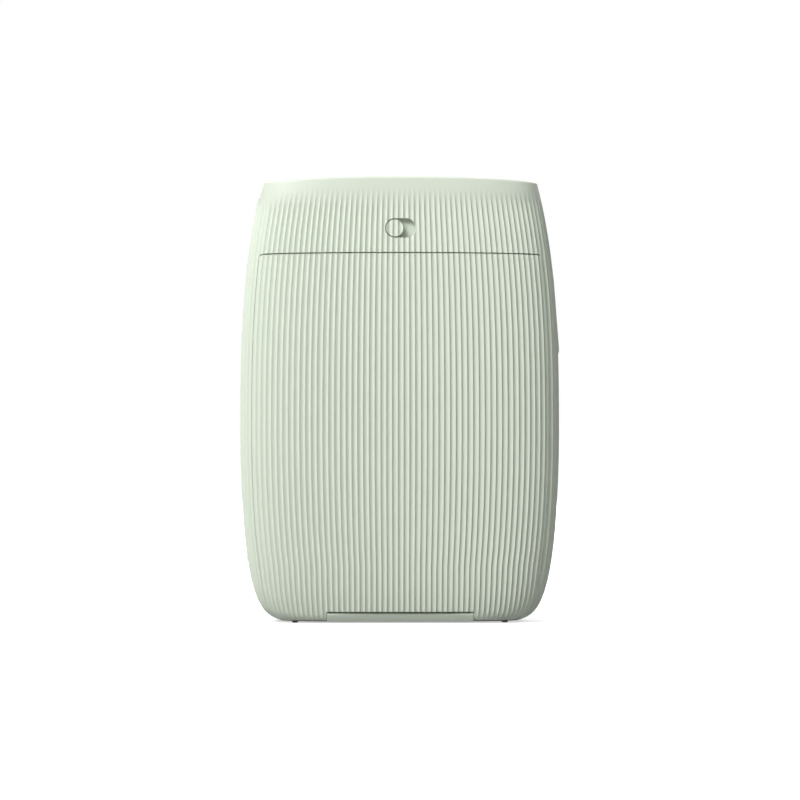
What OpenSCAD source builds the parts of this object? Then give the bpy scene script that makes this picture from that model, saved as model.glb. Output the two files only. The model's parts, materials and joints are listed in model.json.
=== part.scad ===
// Pocket printer for instant film. It stands on four small feet, +Z up, with the
// film door facing -Y and the power button facing +Y. The origin is on the ground
// under the middle of the body. All sizes are in millimetres.

/* [Body] */
// Width across the widest part of the body
body_w = 90; // [76:0.5:110]
// Height from the ground to the top of the crown
body_h = 125; // [118:0.5:152]
// Depth between the two broad faces
body_d = 37.3; // [36:0.1:46]
// Height of the widest and deepest section
waist_z = 52; // [45:0.5:60]
// How much each side draws in between the waist and the top
tumble_w = 6.2; // [2:0.1:8]
// How much each broad face draws in between the waist and the top
tumble_d = 3.2; // [1:0.1:3.4]
// Rise of the top edge from its corners to its middle
crown = 1.4; // [0:0.1:2.5]
// Squareness of the rounded section
section_n = 3.8; // [3:0.1:5]
// Wall of the two housings
wall = 1.6; // [1.2:0.1:1.9]

/* [Fluting] */
// Number of flutes round the body, a multiple of four
flutes = 140; // [132:4:148]
// Depth of a flute below its crests
flute_depth = 0.22; // [0.1:0.02:0.4]
// Height below the top at which the flutes have faded out
smooth_band = 4; // [3:0.5:6]
// Height over which the flutes fade
fade_h = 5; // [3:0.5:8]

/* [Film door] */
// Flutes across the door, an odd number
door_flutes = 53; // [51:2:55]
// Distance from the top of the door to the top of the body
door_drop = 21.4; // [20:0.2:24]
// Wall of the door skin
door_wall = 1.2; // [1:0.1:1.5]
// Gap round the door
seam = 0.3; // [0.2:0.05:0.4]
// Height of the hinge pin above the ground
hinge_z = 1.75; // [1.6:0.05:2]
// Distance of the hinge pin behind the middle plane
hinge_y = 12.6; // [12.4:0.1:12.8]
// Diameter of the hinge pin
pin_d = 1; // [0.8:0.1:1.1]
// Width of the fixed hinge barrel
barrel_w = 41; // [30:0.5:44]

/* [Film bay] */
// Width of the film cassette's bay
bay_w = 62; // [56:0.5:62]
// Height of the film cassette's bay
bay_h = 92; // [80:0.5:92]
// Depth of the film cassette's bay, behind the film plane
bay_d = 12; // [11:0.1:12]
// Wall of the film bay
bay_wall = 1.2; // [1:0.1:1.4]
// Width of the film's exit
exit_w = 57; // [55:0.5:58]
// Gap of the film's exit
exit_gap = 2; // [1.6:0.1:2.4]

/* [Film drive] */
// Diameter of the two film rollers
roller_d = 7; // [6.4:0.1:7.2]
// Gap between the two rollers
roller_gap = 0.3; // [0.2:0.05:0.4]
// Diameter of the roller journals
journal_d = 3; // [2.4:0.1:3.2]
// Radial play of a journal in its bush
journal_play = 0.04; // [0.02:0.01:0.08]
// Tooth module of the gears
gear_m = 0.4; // [0.36:0.02:0.42]
// Width of a gear
gear_w = 1.2; // [1:0.1:1.3]

/* [Latch] */
// Diameter of the latch knob
knob_d = 5.1; // [4.6:0.1:5.4]
// Travel of the latch
latch_travel = 3.2; // [2.8:0.1:3.4]
// Gap between the knob and its slot
knob_gap = 0.15; // [0.1:0.05:0.25]
// Distance of the latch below the top of the body
latch_drop = 14.5; // [14:0.1:15.5]

/* [Buttons] */
// Diameter of the power button
power_d = 15; // [12:0.5:18]
// Travel of the power button
power_travel = 0.5; // [0.3:0.05:0.6]
// Width of the light ring
ring_w = 1.6; // [1.2:0.1:2]
// Length of the function button on the side
key_l = 22; // [16:0.5:24]
// Width of the function button
key_w = 4; // [3.4:0.1:4.1]
// Travel of the function button
key_travel = 0.4; // [0.3:0.05:0.5]

/* [Feet] */
// Height of a foot below the body
foot_h = 0.4; // [0.3:0.05:0.6]
// Distance between the left and right feet
foot_pitch = 59; // [50:0.5:60]

/* [Hidden] */
green = [0.76, 0.80, 0.73];
black = [0.10, 0.10, 0.11];
steel = [0.75, 0.76, 0.78];
board_green = [0.08, 0.32, 0.20];
white_nylon = [0.92, 0.92, 0.90];
clear = 0.3;

// --- The body's form -------------------------------------------------------

half_body_w = body_w / 2;
half_body_d = body_d / 2;
door_half_u = door_flutes / 2;
quarter_u = flutes / 4;
door_top_z = body_h - door_drop;

// Below the waist, width and depth round in towards the ground alike.
function tuck(z) = pow(1 - pow(max(0, waist_z - z) / waist_z, 1.8), 1 / 13.5);
// Above the waist, both draw in along a power curve.
function rise(z) = max(0, z - waist_z) / (body_h - waist_z);
function half_w(z) = half_body_w * tuck(z) - tumble_w * pow(rise(z), 2.85);
function half_d(z) = half_body_d * tuck(z) - tumble_d * pow(rise(z), 2.5);

// A horizontal section is a superellipse. Angle 0 is the middle of the door side.
function squareness(a) =
  pow(pow(abs(sin(a)), section_n) + pow(abs(cos(a)), section_n), 1 / section_n);
function unit_x(a) = sin(a) / squareness(a);
function unit_y(a) = -cos(a) / squareness(a);

// Flutes lie at equal steps of arc round the widest section.
function waist_point(a) = [half_body_w * unit_x(a), half_body_d * unit_y(a)];
function running_sum(steps, i = 0, sum = 0) =
  i == len(steps) ? [] : concat([sum + steps[i]], running_sum(steps, i + 1, sum + steps[i]));
arc_lengths = running_sum([
  for (a = [0:180]) a == 0 ? 0 : norm(waist_point(a) - waist_point(a - 1))
]);
arc_table = [for (a = [0:180]) [arc_lengths[a] / arc_lengths[180] * flutes / 2, a]];
flute_pitch = 2 * arc_lengths[180] / flutes;
function angle_at(u) = u > flutes / 2 ? -angle_at(flutes - u) : sign(u) * lookup(abs(u), arc_table);

// A flute is a shallow scallop between two crisp crests.
function scallop(u) = 1 - pow(2 * abs(u - round(u)), 2);
function fade(z) = max(0, min(1, (body_h - smooth_band - z) / fade_h));
function groove(u, z) = flute_depth * fade(z) * scallop(u);

// The crown lowers the corners of the top, and less and less below it. The share is
// the distance from the middle over the half width.
function sag(share, z) = crown * pow(abs(share), 2.5) * pow(rise(z), 3.3);

// A point of the skin: u in flutes, z, how far it lies inside, and how much of its
// depth is kept. On the floor and the top, rows with less depth kept lead to the
// parting plane, where they are evenly divided.
function even_x(u) = abs(u) <= quarter_u ? u / quarter_u : sign(u) * (2 - abs(u) / quarter_u);
function skin_point(u, z, inset, keep) =
  let (a = angle_at(u), flat = keep < 0.5, share = flat ? even_x(u) : unit_x(a))
  [
    share * (half_w(z) - inset) * (0.94 + 0.06 * keep),
    (flat ? sign(unit_y(a)) * (1 - pow(even_x(u), 16)) : unit_y(a)) * (half_d(z) - inset) * keep,
    z - sag(share, z)
  ];

// The same section's half width at a distance y from the middle plane.
function inner_x(z, y, thick) =
  (half_w(z) - thick) * pow(1 - pow(min(1, abs(y) / (half_d(z) - thick)), section_n), 1 / section_n);
// And its depth at a distance x from the middle.
function inner_y(z, x, thick) =
  (half_d(z) - thick) * pow(1 - pow(min(1, abs(x) / (half_w(z) - thick)), section_n), 1 / section_n);

// --- Shared places -----------------------------------------------------------

bay_front_y = 0.5;
bay_back_y = -bay_d;
bay_floor_z = 8;
bay_top_z = bay_floor_z + bay_h;
bay_outer_x = bay_w / 2 + bay_wall;
flange_y = bay_back_y + 1.5;
flange_t = 1.2;
liner_y = bay_back_y - clear;
liner_t = 1;
roller_y = (roller_d + roller_gap) / 2;
roller_z = body_h - 18.5;
roller_l = bay_w - 3;
plate_x = bay_outer_x + 0.1;
plate_t = 0.8;
latch_z = body_h - latch_drop;
slider_y = -14.2;
slider_t = 1;
slider_w = 38;
slider_h = 7.5;
slot_w = knob_d + latch_travel + 2 * knob_gap;
slot_h = knob_d + 2 * knob_gap;
knob_x = -latch_travel / 2;
hook_x = 15;
hook_w = 2.8;
hook_t = 0.8;
hook_y = slider_y + slider_t + clear;
hook_top_z = bay_top_z + 3.2;
button_z = waist_z - 2;
key_z = body_h - 38.3;
board_y = 11.2;
board_t = 1;
post_z = [30, 79];
usb_z = 22;
usb_opening_h = 9.6;
key_opening_h = key_l + 0.6;
ring_hole_r = power_d / 2 + ring_w + 0.45;

// --- The skin as a grid ------------------------------------------------------

// Heights at which the skin is drawn. The openings at the sides and for the power
// button start and end on one of them.
low_levels = [
  foot_h + 0.7, foot_h + 3.2, foot_h + 8, usb_z - usb_opening_h / 2, usb_z + usb_opening_h / 2
];
button_levels = [for (i = [-2:2]) button_z + i * ring_hole_r * 0.525];
high_levels = [key_z - key_opening_h / 2, key_z, key_z + key_opening_h / 2];
floor_keep = 0.86;
exit_keep = (exit_gap / 2 + 1.1) / (half_d(body_h) - 0.8);
floor_rows = [[foot_h, 0, 0], [foot_h, 0, floor_keep], [foot_h, 0, 1]];
top_rows = [
  [body_h - smooth_band, 0, 1], [body_h - 0.8, 0, 1], [body_h, 0.8, 1], [body_h, 0.8, exit_keep],
  [body_h, 0.8, 0]
];
rear_levels = concat(
  floor_rows,
  [for (z = low_levels) [z, 0, 1]],
  [[waist_z - 12, 0, 1], [waist_z, 0, 1]],
  [for (z = high_levels) [z, 0, 1]],
  [[door_top_z + seam / 2, 0, 1]],
  [for (i = [-2:2]) [latch_z + i * slot_h / 4, 0, 1]],
  top_rows
);
front_levels = concat(
  floor_rows,
  [for (z = low_levels) [z, 0, 1]],
  [for (z = button_levels) [z, 0, 1]],
  [for (z = high_levels) [z, 0, 1]],
  [[body_h - smooth_band - fade_h - 6, 0, 1]],
  top_rows
);
door_levels = concat(
  [[foot_h + 0.4, 0, 1], [foot_h + 1.4, 0, 1]],
  [for (z = low_levels) if (z > foot_h + 2) [z, 0, 1]],
  [[waist_z - 12, 0, 1], [waist_z, 0, 1]],
  [for (z = high_levels) [z, 0, 1]],
  [[door_top_z - seam / 2, 0, 1]]
);

// The wall's inner face stands off the floor and the top by the wall as well.
function end_shift(z, thick) =
  thick * (max(0, 1 - (z - foot_h) / 8) - max(0, 1 - (body_h - z) / 10));

// The point where a ray from the middle of a slot with round ends leaves it.
function slot_edge(ray, straight, r) =
  let (along = abs(ray[0] / ray[1]) * r, cx = straight * abs(ray[0]), d2 = ray * ray)
  ray[1] != 0 && along <= straight
    ? ray * r / abs(ray[1])
    : ray * (cx + sqrt(cx * cx - d2 * (straight * straight - r * r))) / d2;

// Closed wall between a fluted outer grid and a smooth, coarser inner grid. columns
// holds u, and coarse the columns that the inner face keeps. A window is a range of
// columns and one of levels with nothing between them. The edge of a round window is
// moved onto a slot, given by half its straight length and its end radius.
module fluted_wall(columns, coarse, levels, thick, windows = [], round_windows = []) {
  across = len(columns);
  up = len(levels);
  inner_across = len(coarse);
  base = across * up;
  function within(w, i, j) = i >= w[0] && i < w[1] && j >= w[2] && j < w[3];
  function open(i, j) =
    j < 0 || j >= up - 1 || i < 0 || i >= across - 1
    || len([for (w = concat(windows, round_windows)) if (within(w, i, j)) 1]) > 0;
  function on_edge(w, i, j) =
    i >= w[0] && i <= w[1] && j >= w[2] && j <= w[3]
    && (i == w[0] || i == w[1] || j == w[2] || j == w[3]);
  function moved(w, i, j, inset) =
    let (
      u = (columns[w[0]] + columns[w[1]]) / 2,
      z = (levels[w[2]][0] + levels[w[3]][0]) / 2,
      s = (2 * i - w[0] - w[1]) / (w[1] - w[0]),
      t = (2 * j - w[2] - w[3]) / (w[3] - w[2]),
      p = slot_edge([s * (w[4] + w[5]), t * w[5]], w[4], w[5])
    )
    [u + p[0] / flute_pitch * half_body_w / (half_w(z) - inset), z + p[1]];
  function place(i, j, inset) =
    let (hit = [for (w = round_windows) if (on_edge(w, i, j)) w])
    len(hit) > 0 ? moved(hit[0], i, j, inset) : [columns[i], levels[j][0]];
  outer_points = [
    for (j = [0:up - 1]) for (i = [0:across - 1])
      let (p = place(i, j, 0))
      skin_point(p[0], p[1], levels[j][1] + groove(p[0], p[1]), levels[j][2])
  ];
  inner_points = [
    for (j = [0:up - 1]) for (i = coarse)
      let (p = place(i, j, thick))
      skin_point(p[0], p[1] + end_shift(p[1], thick), thick + levels[j][1] / 2, levels[j][2])
  ];
  function o(i, j) = j * across + i;
  function n(c, j) = base + j * inner_across + c;
  // Each cell's diagonal leans away from the ends of the parting line.
  function leans(i, j) = (i < across / 2) == (j < up / 2);
  function cell(p, q, r, s, lean) = lean ? [[p, r, q], [p, s, r]] : [[p, s, q], [q, s, r]];
  outer_faces = [
    for (j = [0:up - 2]) for (i = [0:across - 2]) if (!open(i, j))
      each cell(o(i, j), o(i + 1, j), o(i + 1, j + 1), o(i, j + 1), leans(i, j))
  ];
  inner_faces = [
    for (j = [0:up - 2]) for (c = [0:inner_across - 2]) if (!open(coarse[c], j))
      each cell(n(c, j), n(c, j + 1), n(c + 1, j + 1), n(c + 1, j), leans(coarse[c], j))
  ];
  // A rim shares its outer points out between the two ends of its inner edge.
  function rim(c, j, turn) =
    let (mid = floor((coarse[c] + coarse[c + 1]) / 2))
    [
      for (i = [coarse[c]:coarse[c + 1] - 1])
        let (k = i < mid ? c : c + 1)
        turn ? [o(i + 1, j), o(i, j), n(k, j)] : [o(i, j), o(i + 1, j), n(k, j)],
      turn ? [n(c + 1, j), o(mid, j), n(c, j)] : [o(mid, j), n(c + 1, j), n(c, j)]
    ];
  lower_rims = [
    for (j = [0:up - 2]) for (c = [0:inner_across - 2])
      if (!open(coarse[c], j) && open(coarse[c], j - 1)) each rim(c, j, false)
  ];
  upper_rims = [
    for (j = [0:up - 2]) for (c = [0:inner_across - 2])
      if (!open(coarse[c], j) && open(coarse[c], j + 1)) each rim(c, j + 1, true)
  ];
  side_rims = [
    for (j = [0:up - 2]) for (c = [0:inner_across - 1])
      let (i = coarse[c], left = open(i - 1, j), right = open(i, j))
      if (left != right)
        each left
          ? cell(o(i, j), o(i, j + 1), n(c, j + 1), n(c, j), j >= up / 2)
          : cell(o(i, j), n(c, j), n(c, j + 1), o(i, j + 1), j >= up / 2)
  ];
  polyhedron(
    concat(outer_points, inner_points),
    concat(outer_faces, inner_faces, lower_rims, upper_rims, side_rims)
  );
}

// Half a flute to a column. The door's own edges are set back by half the seam.
seam_u = seam / 2 / flute_pitch;
side_steps = 2 * (quarter_u - ceil(door_half_u)) + 1;
door_steps = 4 * floor(door_half_u) + 2;
rear_last = 2 * side_steps + door_steps;
rear_columns = concat(
  [for (i = [0:side_steps - 1]) -quarter_u + i / 2],
  [-door_half_u - seam_u],
  [for (i = [-floor(door_half_u) * 2:floor(door_half_u) * 2]) i / 2],
  [door_half_u + seam_u],
  [for (i = [side_steps - 1:-1:0]) quarter_u - i / 2]
);
rear_middle = rear_last / 2;
front_columns = [for (i = [0:4 * quarter_u]) quarter_u + i / 2];
front_middle = 2 * quarter_u;
door_columns = concat(
  [-door_half_u + seam_u],
  [for (i = [-floor(door_half_u) * 2:floor(door_half_u) * 2]) i / 2],
  [door_half_u - seam_u]
);
door_coarse = [for (i = [0:12]) round(door_steps * i / 12)];
// Half widths of the openings, in columns
port_steps = 3;
exit_steps = 60;
latch_steps = 6;
ring_steps = 12;
middle_coarse = [
  -42, -30, -18, -latch_steps, -latch_steps / 2, latch_steps / 2, latch_steps, 18, 30, 42
];
rear_coarse = concat(
  [0, port_steps, 6, rear_middle - exit_steps, side_steps],
  [for (i = middle_coarse) rear_middle + i],
  [rear_last - side_steps, rear_middle + exit_steps, rear_last - 6],
  [rear_last - port_steps, rear_last]
);
front_coarse = concat(
  [0, port_steps, 6],
  [for (i = [-exit_steps, -55, -49, -42, -26]) front_middle + i],
  [for (i = [-3:3]) front_middle + i * ring_steps / 3],
  [for (i = [26, 42, 49, 55, exit_steps]) front_middle + i],
  [2 * front_middle - 6, 2 * front_middle - port_steps, 2 * front_middle]
);
// Levels, counted from the floor, at which the openings start and end
usb_level = 6;
rear_key_level = 10;
front_key_level = 13;
ring_level = 8;
door_top_level = 13;
latch_level = 14;
rear_up = len(rear_levels);
front_up = len(front_levels);

module rounded_slot(w, h) {
  square([w - h, h], center = true);
  for (side = [-1, 1]) translate([side * (w - h) / 2, 0]) circle(d = h, $fn = 48);
}

// Lays a flat outline, drawn as seen from the door side, into the XZ plane. It
// grows from y towards +Y.
module upright(y, thickness) {
  translate([0, y + thickness, 0]) rotate([90, 0, 0]) linear_extrude(thickness) children();
}

module along_x(x, length) {
  translate([x, 0, 0]) rotate([90, 0, 90]) linear_extrude(length) children();
}

// --- Casing --------------------------------------------------------------------

module rear_housing() {
  color(green)
    fluted_wall(
      rear_columns, rear_coarse, rear_levels, wall,
      [
        [side_steps, rear_last - side_steps, 1, door_top_level],
        [0, port_steps, usb_level, usb_level + 1],
        [rear_last - port_steps, rear_last, rear_key_level, rear_key_level + 2],
        [rear_middle - exit_steps, rear_middle + exit_steps, rear_up - 2, rear_up - 1]
      ],
      [[
        rear_middle - latch_steps, rear_middle + latch_steps, latch_level, latch_level + 4,
        (slot_w - slot_h) / 2, slot_h / 2
      ]]
    );
}

module front_housing() {
  color(green)
    fluted_wall(
      front_columns, front_coarse, front_levels, wall,
      [
        [0, port_steps, front_key_level, front_key_level + 2],
        [2 * front_middle - port_steps, 2 * front_middle, usb_level, usb_level + 1],
        [front_middle - exit_steps, front_middle + exit_steps, front_up - 2, front_up - 1]
      ],
      [[
        front_middle - ring_steps, front_middle + ring_steps, ring_level, ring_level + 4,
        0, ring_hole_r
      ]]
    );
}

module film_door() {
  color(green)
    difference() {
      fluted_wall(door_columns, door_coarse, door_levels, door_wall);
      translate([-barrel_w / 2 - seam, -half_body_d, -1])
        cube([barrel_w + 2 * seam, half_body_d, 4.3]);
    }
}

// The liner follows the inside of the skin, and carries the outer hinge knuckles
// and the two hooks that the latch catches.
liner_levels = [for (i = [0:8]) 5 + (bay_top_z + 1 - 5) * i / 8];
function liner_edge(z) =
  min(bay_outer_x + 1.5, inner_x(z, liner_y - liner_t - clear, door_wall) - clear);
pad_x = 17;
pad_w = 10;
pad_h = 45;
pad_z = (bay_floor_z + bay_top_z) / 2;
knuckle_w = 3;
knuckle_r = 0.9;

module door_liner() {
  color(black)
    difference() {
      union() {
        upright(liner_y - liner_t, liner_t)
          polygon(concat(
            [for (z = liner_levels) [liner_edge(z), z]],
            [for (i = [len(liner_levels) - 1:-1:0]) [-liner_edge(liner_levels[i]), liner_levels[i]]]
          ));
        for (side = [-1, 1]) {
          knuckle_x = side * (barrel_w / 2 + seam + knuckle_w / 2) - knuckle_w / 2;
          along_x(knuckle_x, knuckle_w) translate([-hinge_y, hinge_z]) circle(r = knuckle_r, $fn = 48);
          translate([knuckle_x, liner_y - liner_t, hinge_z])
            cube([knuckle_w, 0.9, 5.2 - hinge_z]);
          translate([side * hook_x + latch_travel - hook_w / 2, liner_y - 0.6, bay_top_z])
            cube([hook_w, hook_y + hook_t - liner_y + 0.6, 1]);
          translate([side * hook_x + latch_travel - hook_w / 2, hook_y, bay_top_z])
            cube([hook_w, hook_t, hook_top_z - bay_top_z]);
        }
        // Stiffening ribs between the plate and the skin
        for (z = [24, 84])
          translate([-24, liner_y - liner_t - 1.8, z]) cube([48, 1.9, 1]);
      }
      for (side = [-1, 1])
        translate([side * pad_x - pad_w / 2 - clear, liner_y - liner_t - 1, pad_z - pad_h / 2 - clear])
          cube([pad_w + 2 * clear, 3, pad_h + 2 * clear]);
      along_x(-body_w / 2, body_w) translate([-hinge_y, hinge_z]) circle(d = pin_d + 0.06, $fn = 48);
    }
}

// Fixed barrel under the door, on a tongue that is screwed to the floor.
block_r = 1.95;
tongue_z = foot_h + wall + 0.05;
module hinge_block() {
  color(green)
    difference() {
      union() {
        along_x(-barrel_w / 2, barrel_w) translate([-hinge_y, hinge_z]) circle(r = block_r, $fn = 64);
        translate([-16, -hinge_y, tongue_z]) cube([32, 7.5, 1]);
      }
      translate([-body_w / 2, -body_d, foot_h + 0.05 - 5]) cube([body_w, body_d, 5]);
      translate([-body_w / 2, -hinge_y + 0.8, -1]) cube([body_w, 10, tongue_z + 1]);
      along_x(-body_w / 2, body_w) translate([-hinge_y, hinge_z]) circle(d = pin_d + 0.02, $fn = 48);
    }
}

module hinge_pin() {
  color(steel)
    along_x(-barrel_w / 2 - seam - knuckle_w, barrel_w + 2 * seam + 2 * knuckle_w)
      translate([-hinge_y, hinge_z]) circle(d = pin_d, $fn = 48);
}

module feet() {
  color(black)
    for (x = [-1, 1]) for (y = [-1, 1])
      translate([x * foot_pitch / 2, y * 5.5, 0])
        linear_extrude(foot_h) rotate(90) rounded_slot(6, 1.6);
}

// --- Latch ---------------------------------------------------------------------

// The knob's flange closes its slot from behind at both ends of the travel.
knob_face_y = -half_d(latch_z) + flute_depth / 2;
knob_flange_t = 0.5;
module latch_knob() {
  color(green)
    translate([knob_x, 0, latch_z]) {
      upright(knob_face_y, slider_y - knob_face_y) circle(d = knob_d, $fn = 64);
      upright(slider_y - knob_flange_t, knob_flange_t)
        rounded_slot(slot_w + latch_travel + 0.8, slot_h + 0.8);
    }
}

module latch_slider() {
  color(black)
    upright(slider_y, slider_t) {
      translate([knob_x, latch_z]) square([slider_w, slider_h], center = true);
      for (side = [-1, 1])
        translate([side * hook_x - hook_w / 2, hook_top_z - 1.6])
          square([hook_w, latch_z - slider_h / 2 - hook_top_z + 1.7]);
    }
}

// Channel behind the slider, on the drive frame's cross plate.
guide_y = slider_y + slider_t + 0.1;
cross_y = -roller_y - roller_d / 2 - 0.6 - plate_t;
module latch_guide() {
  color(black) {
    translate([knob_x - slider_w / 2 - 1, guide_y, latch_z - 2.6])
      cube([slider_w + 2 + latch_travel, cross_y - guide_y, slider_h / 2 + 2.8]);
    translate([knob_x - slider_w / 2 - 1, slider_y + 0.1, latch_z + slider_h / 2 + 0.15])
      cube([slider_w + 2 + latch_travel, cross_y - slider_y - 0.1, 1]);
  }
}

// --- Door's pressure pads ----------------------------------------------------------

module pressure_pad(side) {
  color(black) {
    translate([side * pad_x - pad_w / 2, liner_y - liner_t - 0.3, pad_z - pad_h / 2])
      cube([pad_w, liner_t + 1.5, pad_h]);
    translate([side * pad_x - pad_w / 2 - 1, liner_y - liner_t - 0.7, pad_z - pad_h / 2 - 1])
      cube([pad_w + 2, 0.6, pad_h + 2]);
  }
}
module pressure_pad_left() pressure_pad(-1);
module pressure_pad_right() pressure_pad(1);

module pad_springs() {
  color(steel)
    for (side = [-1, 1])
      translate([side * pad_x - 2, -half_body_d + door_wall + 0.45, pad_z - 14]) cube([4, 0.25, 28]);
}

// --- Film bay ------------------------------------------------------------------------

function flange_edge(z) = min(half_w(z) - wall - 1.3, inner_x(z, flange_y - 0.2, wall) - clear);
flange_levels = [for (i = [0:10]) 6.5 + (bay_top_z + 1.2 - 6.5) * i / 10];
window_z = bay_top_z - 12;
module film_chamber() {
  color(black) {
    difference() {
      union() {
        translate([-bay_outer_x, bay_back_y + 0.1, bay_floor_z - bay_wall])
          cube([2 * bay_outer_x, bay_front_y + bay_wall - bay_back_y - 0.1, bay_h + 2 * bay_wall]);
        upright(flange_y, flange_t)
          polygon(concat(
            [for (z = flange_levels) [flange_edge(z), z]],
            [for (i = [len(flange_levels) - 1:-1:0]) [-flange_edge(flange_levels[i]), flange_levels[i]]]
          ));
      }
      translate([-bay_w / 2, bay_back_y - 5, bay_floor_z])
        cube([bay_w, bay_front_y - bay_back_y + 5, bay_h]);
      translate([-exit_w / 2, -exit_gap / 2 - 0.5, bay_top_z - 1]) cube([exit_w, exit_gap, 5]);
      translate([-27.5, 0, window_z - 3]) cube([55, 5, 6]);
    }
    for (x = [-1, 1]) for (z = post_z)
      translate([x * 25, 0, z])
        upright(bay_front_y + bay_wall, board_y - bay_front_y - bay_wall) circle(d = 4, $fn = 32);
  }
}

// --- Film drive --------------------------------------------------------------------------

// Axes of the gear train, as [y, z], on the left side of the film path.
pinion_teeth = 10;
wheel_teeth = 30;
roller_teeth = 18;
mesh_play = 0.06;
function pitch_r(teeth) = gear_m * teeth / 2;
stage_reach = pitch_r(pinion_teeth) + pitch_r(wheel_teeth) + mesh_play;
last_reach = pitch_r(pinion_teeth) + pitch_r(roller_teeth) + mesh_play;
drive_axis = [roller_y, roller_z];
pinch_axis = [-roller_y, roller_z];
second_axis = drive_axis + last_reach * [sin(-25), -cos(25)];
first_axis = second_axis + stage_reach * [sin(-4), -cos(4)];
motor_axis = first_axis + stage_reach * [cos(31), sin(31)];
layer = gear_w + 0.3;
function layer_x(k) = -(plate_x + plate_t + 0.3 + k * layer + gear_w);

module bush_seat(axis) {
  translate(axis) circle(d = journal_d + 2, $fn = 48);
}

module drive_frame() {
  color(steel) {
    difference() {
      union() {
        along_x(-plate_x - plate_t, plate_t)
          polygon([
            [-8.5, bay_top_z + 2], [-8.5, roller_z + 7.5], [7, roller_z + 7.5], [11, motor_axis[1] + 4],
            [11, first_axis[1] - 7], [-6, first_axis[1] - 7], [-6, bay_top_z + 2]
          ]);
        along_x(plate_x, plate_t)
          polygon([[-8.5, 93], [-8.5, roller_z + 7.5], [7, roller_z + 7.5], [7, 93]]);
        translate([-plate_x - plate_t, cross_y, bay_top_z + 2])
          cube([2 * (plate_x + plate_t), plate_t, roller_z + 7.5 - bay_top_z - 2]);
      }
      along_x(-body_w / 2, body_w) {
        bush_seat(drive_axis);
        bush_seat(pinch_axis);
      }
      along_x(-body_w / 2, body_w / 2) translate(motor_axis) circle(d = 4.1, $fn = 48);
      along_x(-body_w / 2, body_w / 2) translate(first_axis) circle(d = 1.5, $fn = 32);
      along_x(-body_w / 2, body_w / 2) translate(second_axis) circle(d = 1.5, $fn = 32);
    }
  }
}

module roller_bushes() {
  color(white_nylon)
    for (x = [-plate_x - plate_t - 0.2, plate_x - 0.2]) for (axis = [drive_axis, pinch_axis])
      along_x(x, plate_t + 0.4)
        difference() {
          translate(axis) circle(d = journal_d + 1.96, $fn = 48);
          translate(axis) circle(d = journal_d + 2 * journal_play, $fn = 48);
        }
}

module roller(axis) {
  along_x(-roller_l / 2, roller_l) translate(axis) circle(d = roller_d, $fn = 96);
  along_x(layer_x(0), plate_x + 1 - layer_x(0)) translate(axis) circle(d = journal_d, $fn = 48);
}
module drive_roller() color(steel) roller(drive_axis);
module pinch_roller() color(steel) roller(pinch_axis);

// Straight-flanked gear outline with a bore.
module gear_outline(teeth, phase, bore) {
  r = pitch_r(teeth);
  tip = r + 0.75 * gear_m;
  root = r - 1.05 * gear_m;
  step = 360 / teeth;
  difference() {
    polygon([
      for (i = [0:teeth - 1]) let (a = phase + i * step)
        each [
          root * [cos(a - step * 0.32), sin(a - step * 0.32)],
          tip * [cos(a - step * 0.11), sin(a - step * 0.11)],
          tip * [cos(a + step * 0.11), sin(a + step * 0.11)],
          root * [cos(a + step * 0.32), sin(a + step * 0.32)]
        ]
    ]);
    circle(d = bore, $fn = 32);
  }
}

// Phase of a follower whose gap meets a driver's tooth along the line of centres.
function bearing(from, to) = atan2(to[1] - from[1], to[0] - from[0]);
function mesh_phase(teeth, phase, from, next_teeth, to) =
  let (b = bearing(from, to), offset = (b - phase) * teeth / 360)
  b + 180 - (0.5 - offset) * 360 / next_teeth;

motor_phase = 0;
wheel_one_phase = mesh_phase(pinion_teeth, motor_phase, motor_axis, wheel_teeth, first_axis);
wheel_two_phase = mesh_phase(pinion_teeth, 0, first_axis, wheel_teeth, second_axis);
drive_phase = mesh_phase(pinion_teeth, 0, second_axis, roller_teeth, drive_axis);
pinch_phase = mesh_phase(roller_teeth, drive_phase, drive_axis, roller_teeth, pinch_axis);

module roller_gear(axis, phase) {
  along_x(layer_x(0), gear_w) translate(axis) gear_outline(roller_teeth, phase, journal_d);
}
module drive_roller_gear() color(white_nylon) roller_gear(drive_axis, drive_phase);
module pinch_roller_gear() color(white_nylon) roller_gear(pinch_axis, pinch_phase);

// A wheel and a pinion in one piece. The pinion lies in layer k, the wheel outside it.
axle_d = 1.5;
axle_bore = axle_d + 0.08;
module stepped_gear(axis, k, wheel_phase) {
  along_x(layer_x(k), gear_w + 0.2) translate(axis) gear_outline(pinion_teeth, 0, axle_bore);
  along_x(layer_x(k + 1), gear_w) translate(axis) gear_outline(wheel_teeth, wheel_phase, axle_bore);
  along_x(layer_x(k) - 0.5, 0.6)
    translate(axis)
      difference() {
        circle(r = pitch_r(pinion_teeth) - 0.4, $fn = 32);
        circle(d = axle_bore, $fn = 32);
      }
}
module reduction_gear_two() color(white_nylon) stepped_gear(second_axis, 0, wheel_two_phase);
module reduction_gear_one() color(white_nylon) stepped_gear(first_axis, 1, wheel_one_phase);

module gear_axles() {
  color(steel)
    for (axle = [[first_axis, 2], [second_axis, 1]])
      along_x(layer_x(axle[1]) - 0.5, -plate_x - layer_x(axle[1]) + 0.5)
        translate(axle[0]) circle(d = axle_d - 0.02, $fn = 32);
}

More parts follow.
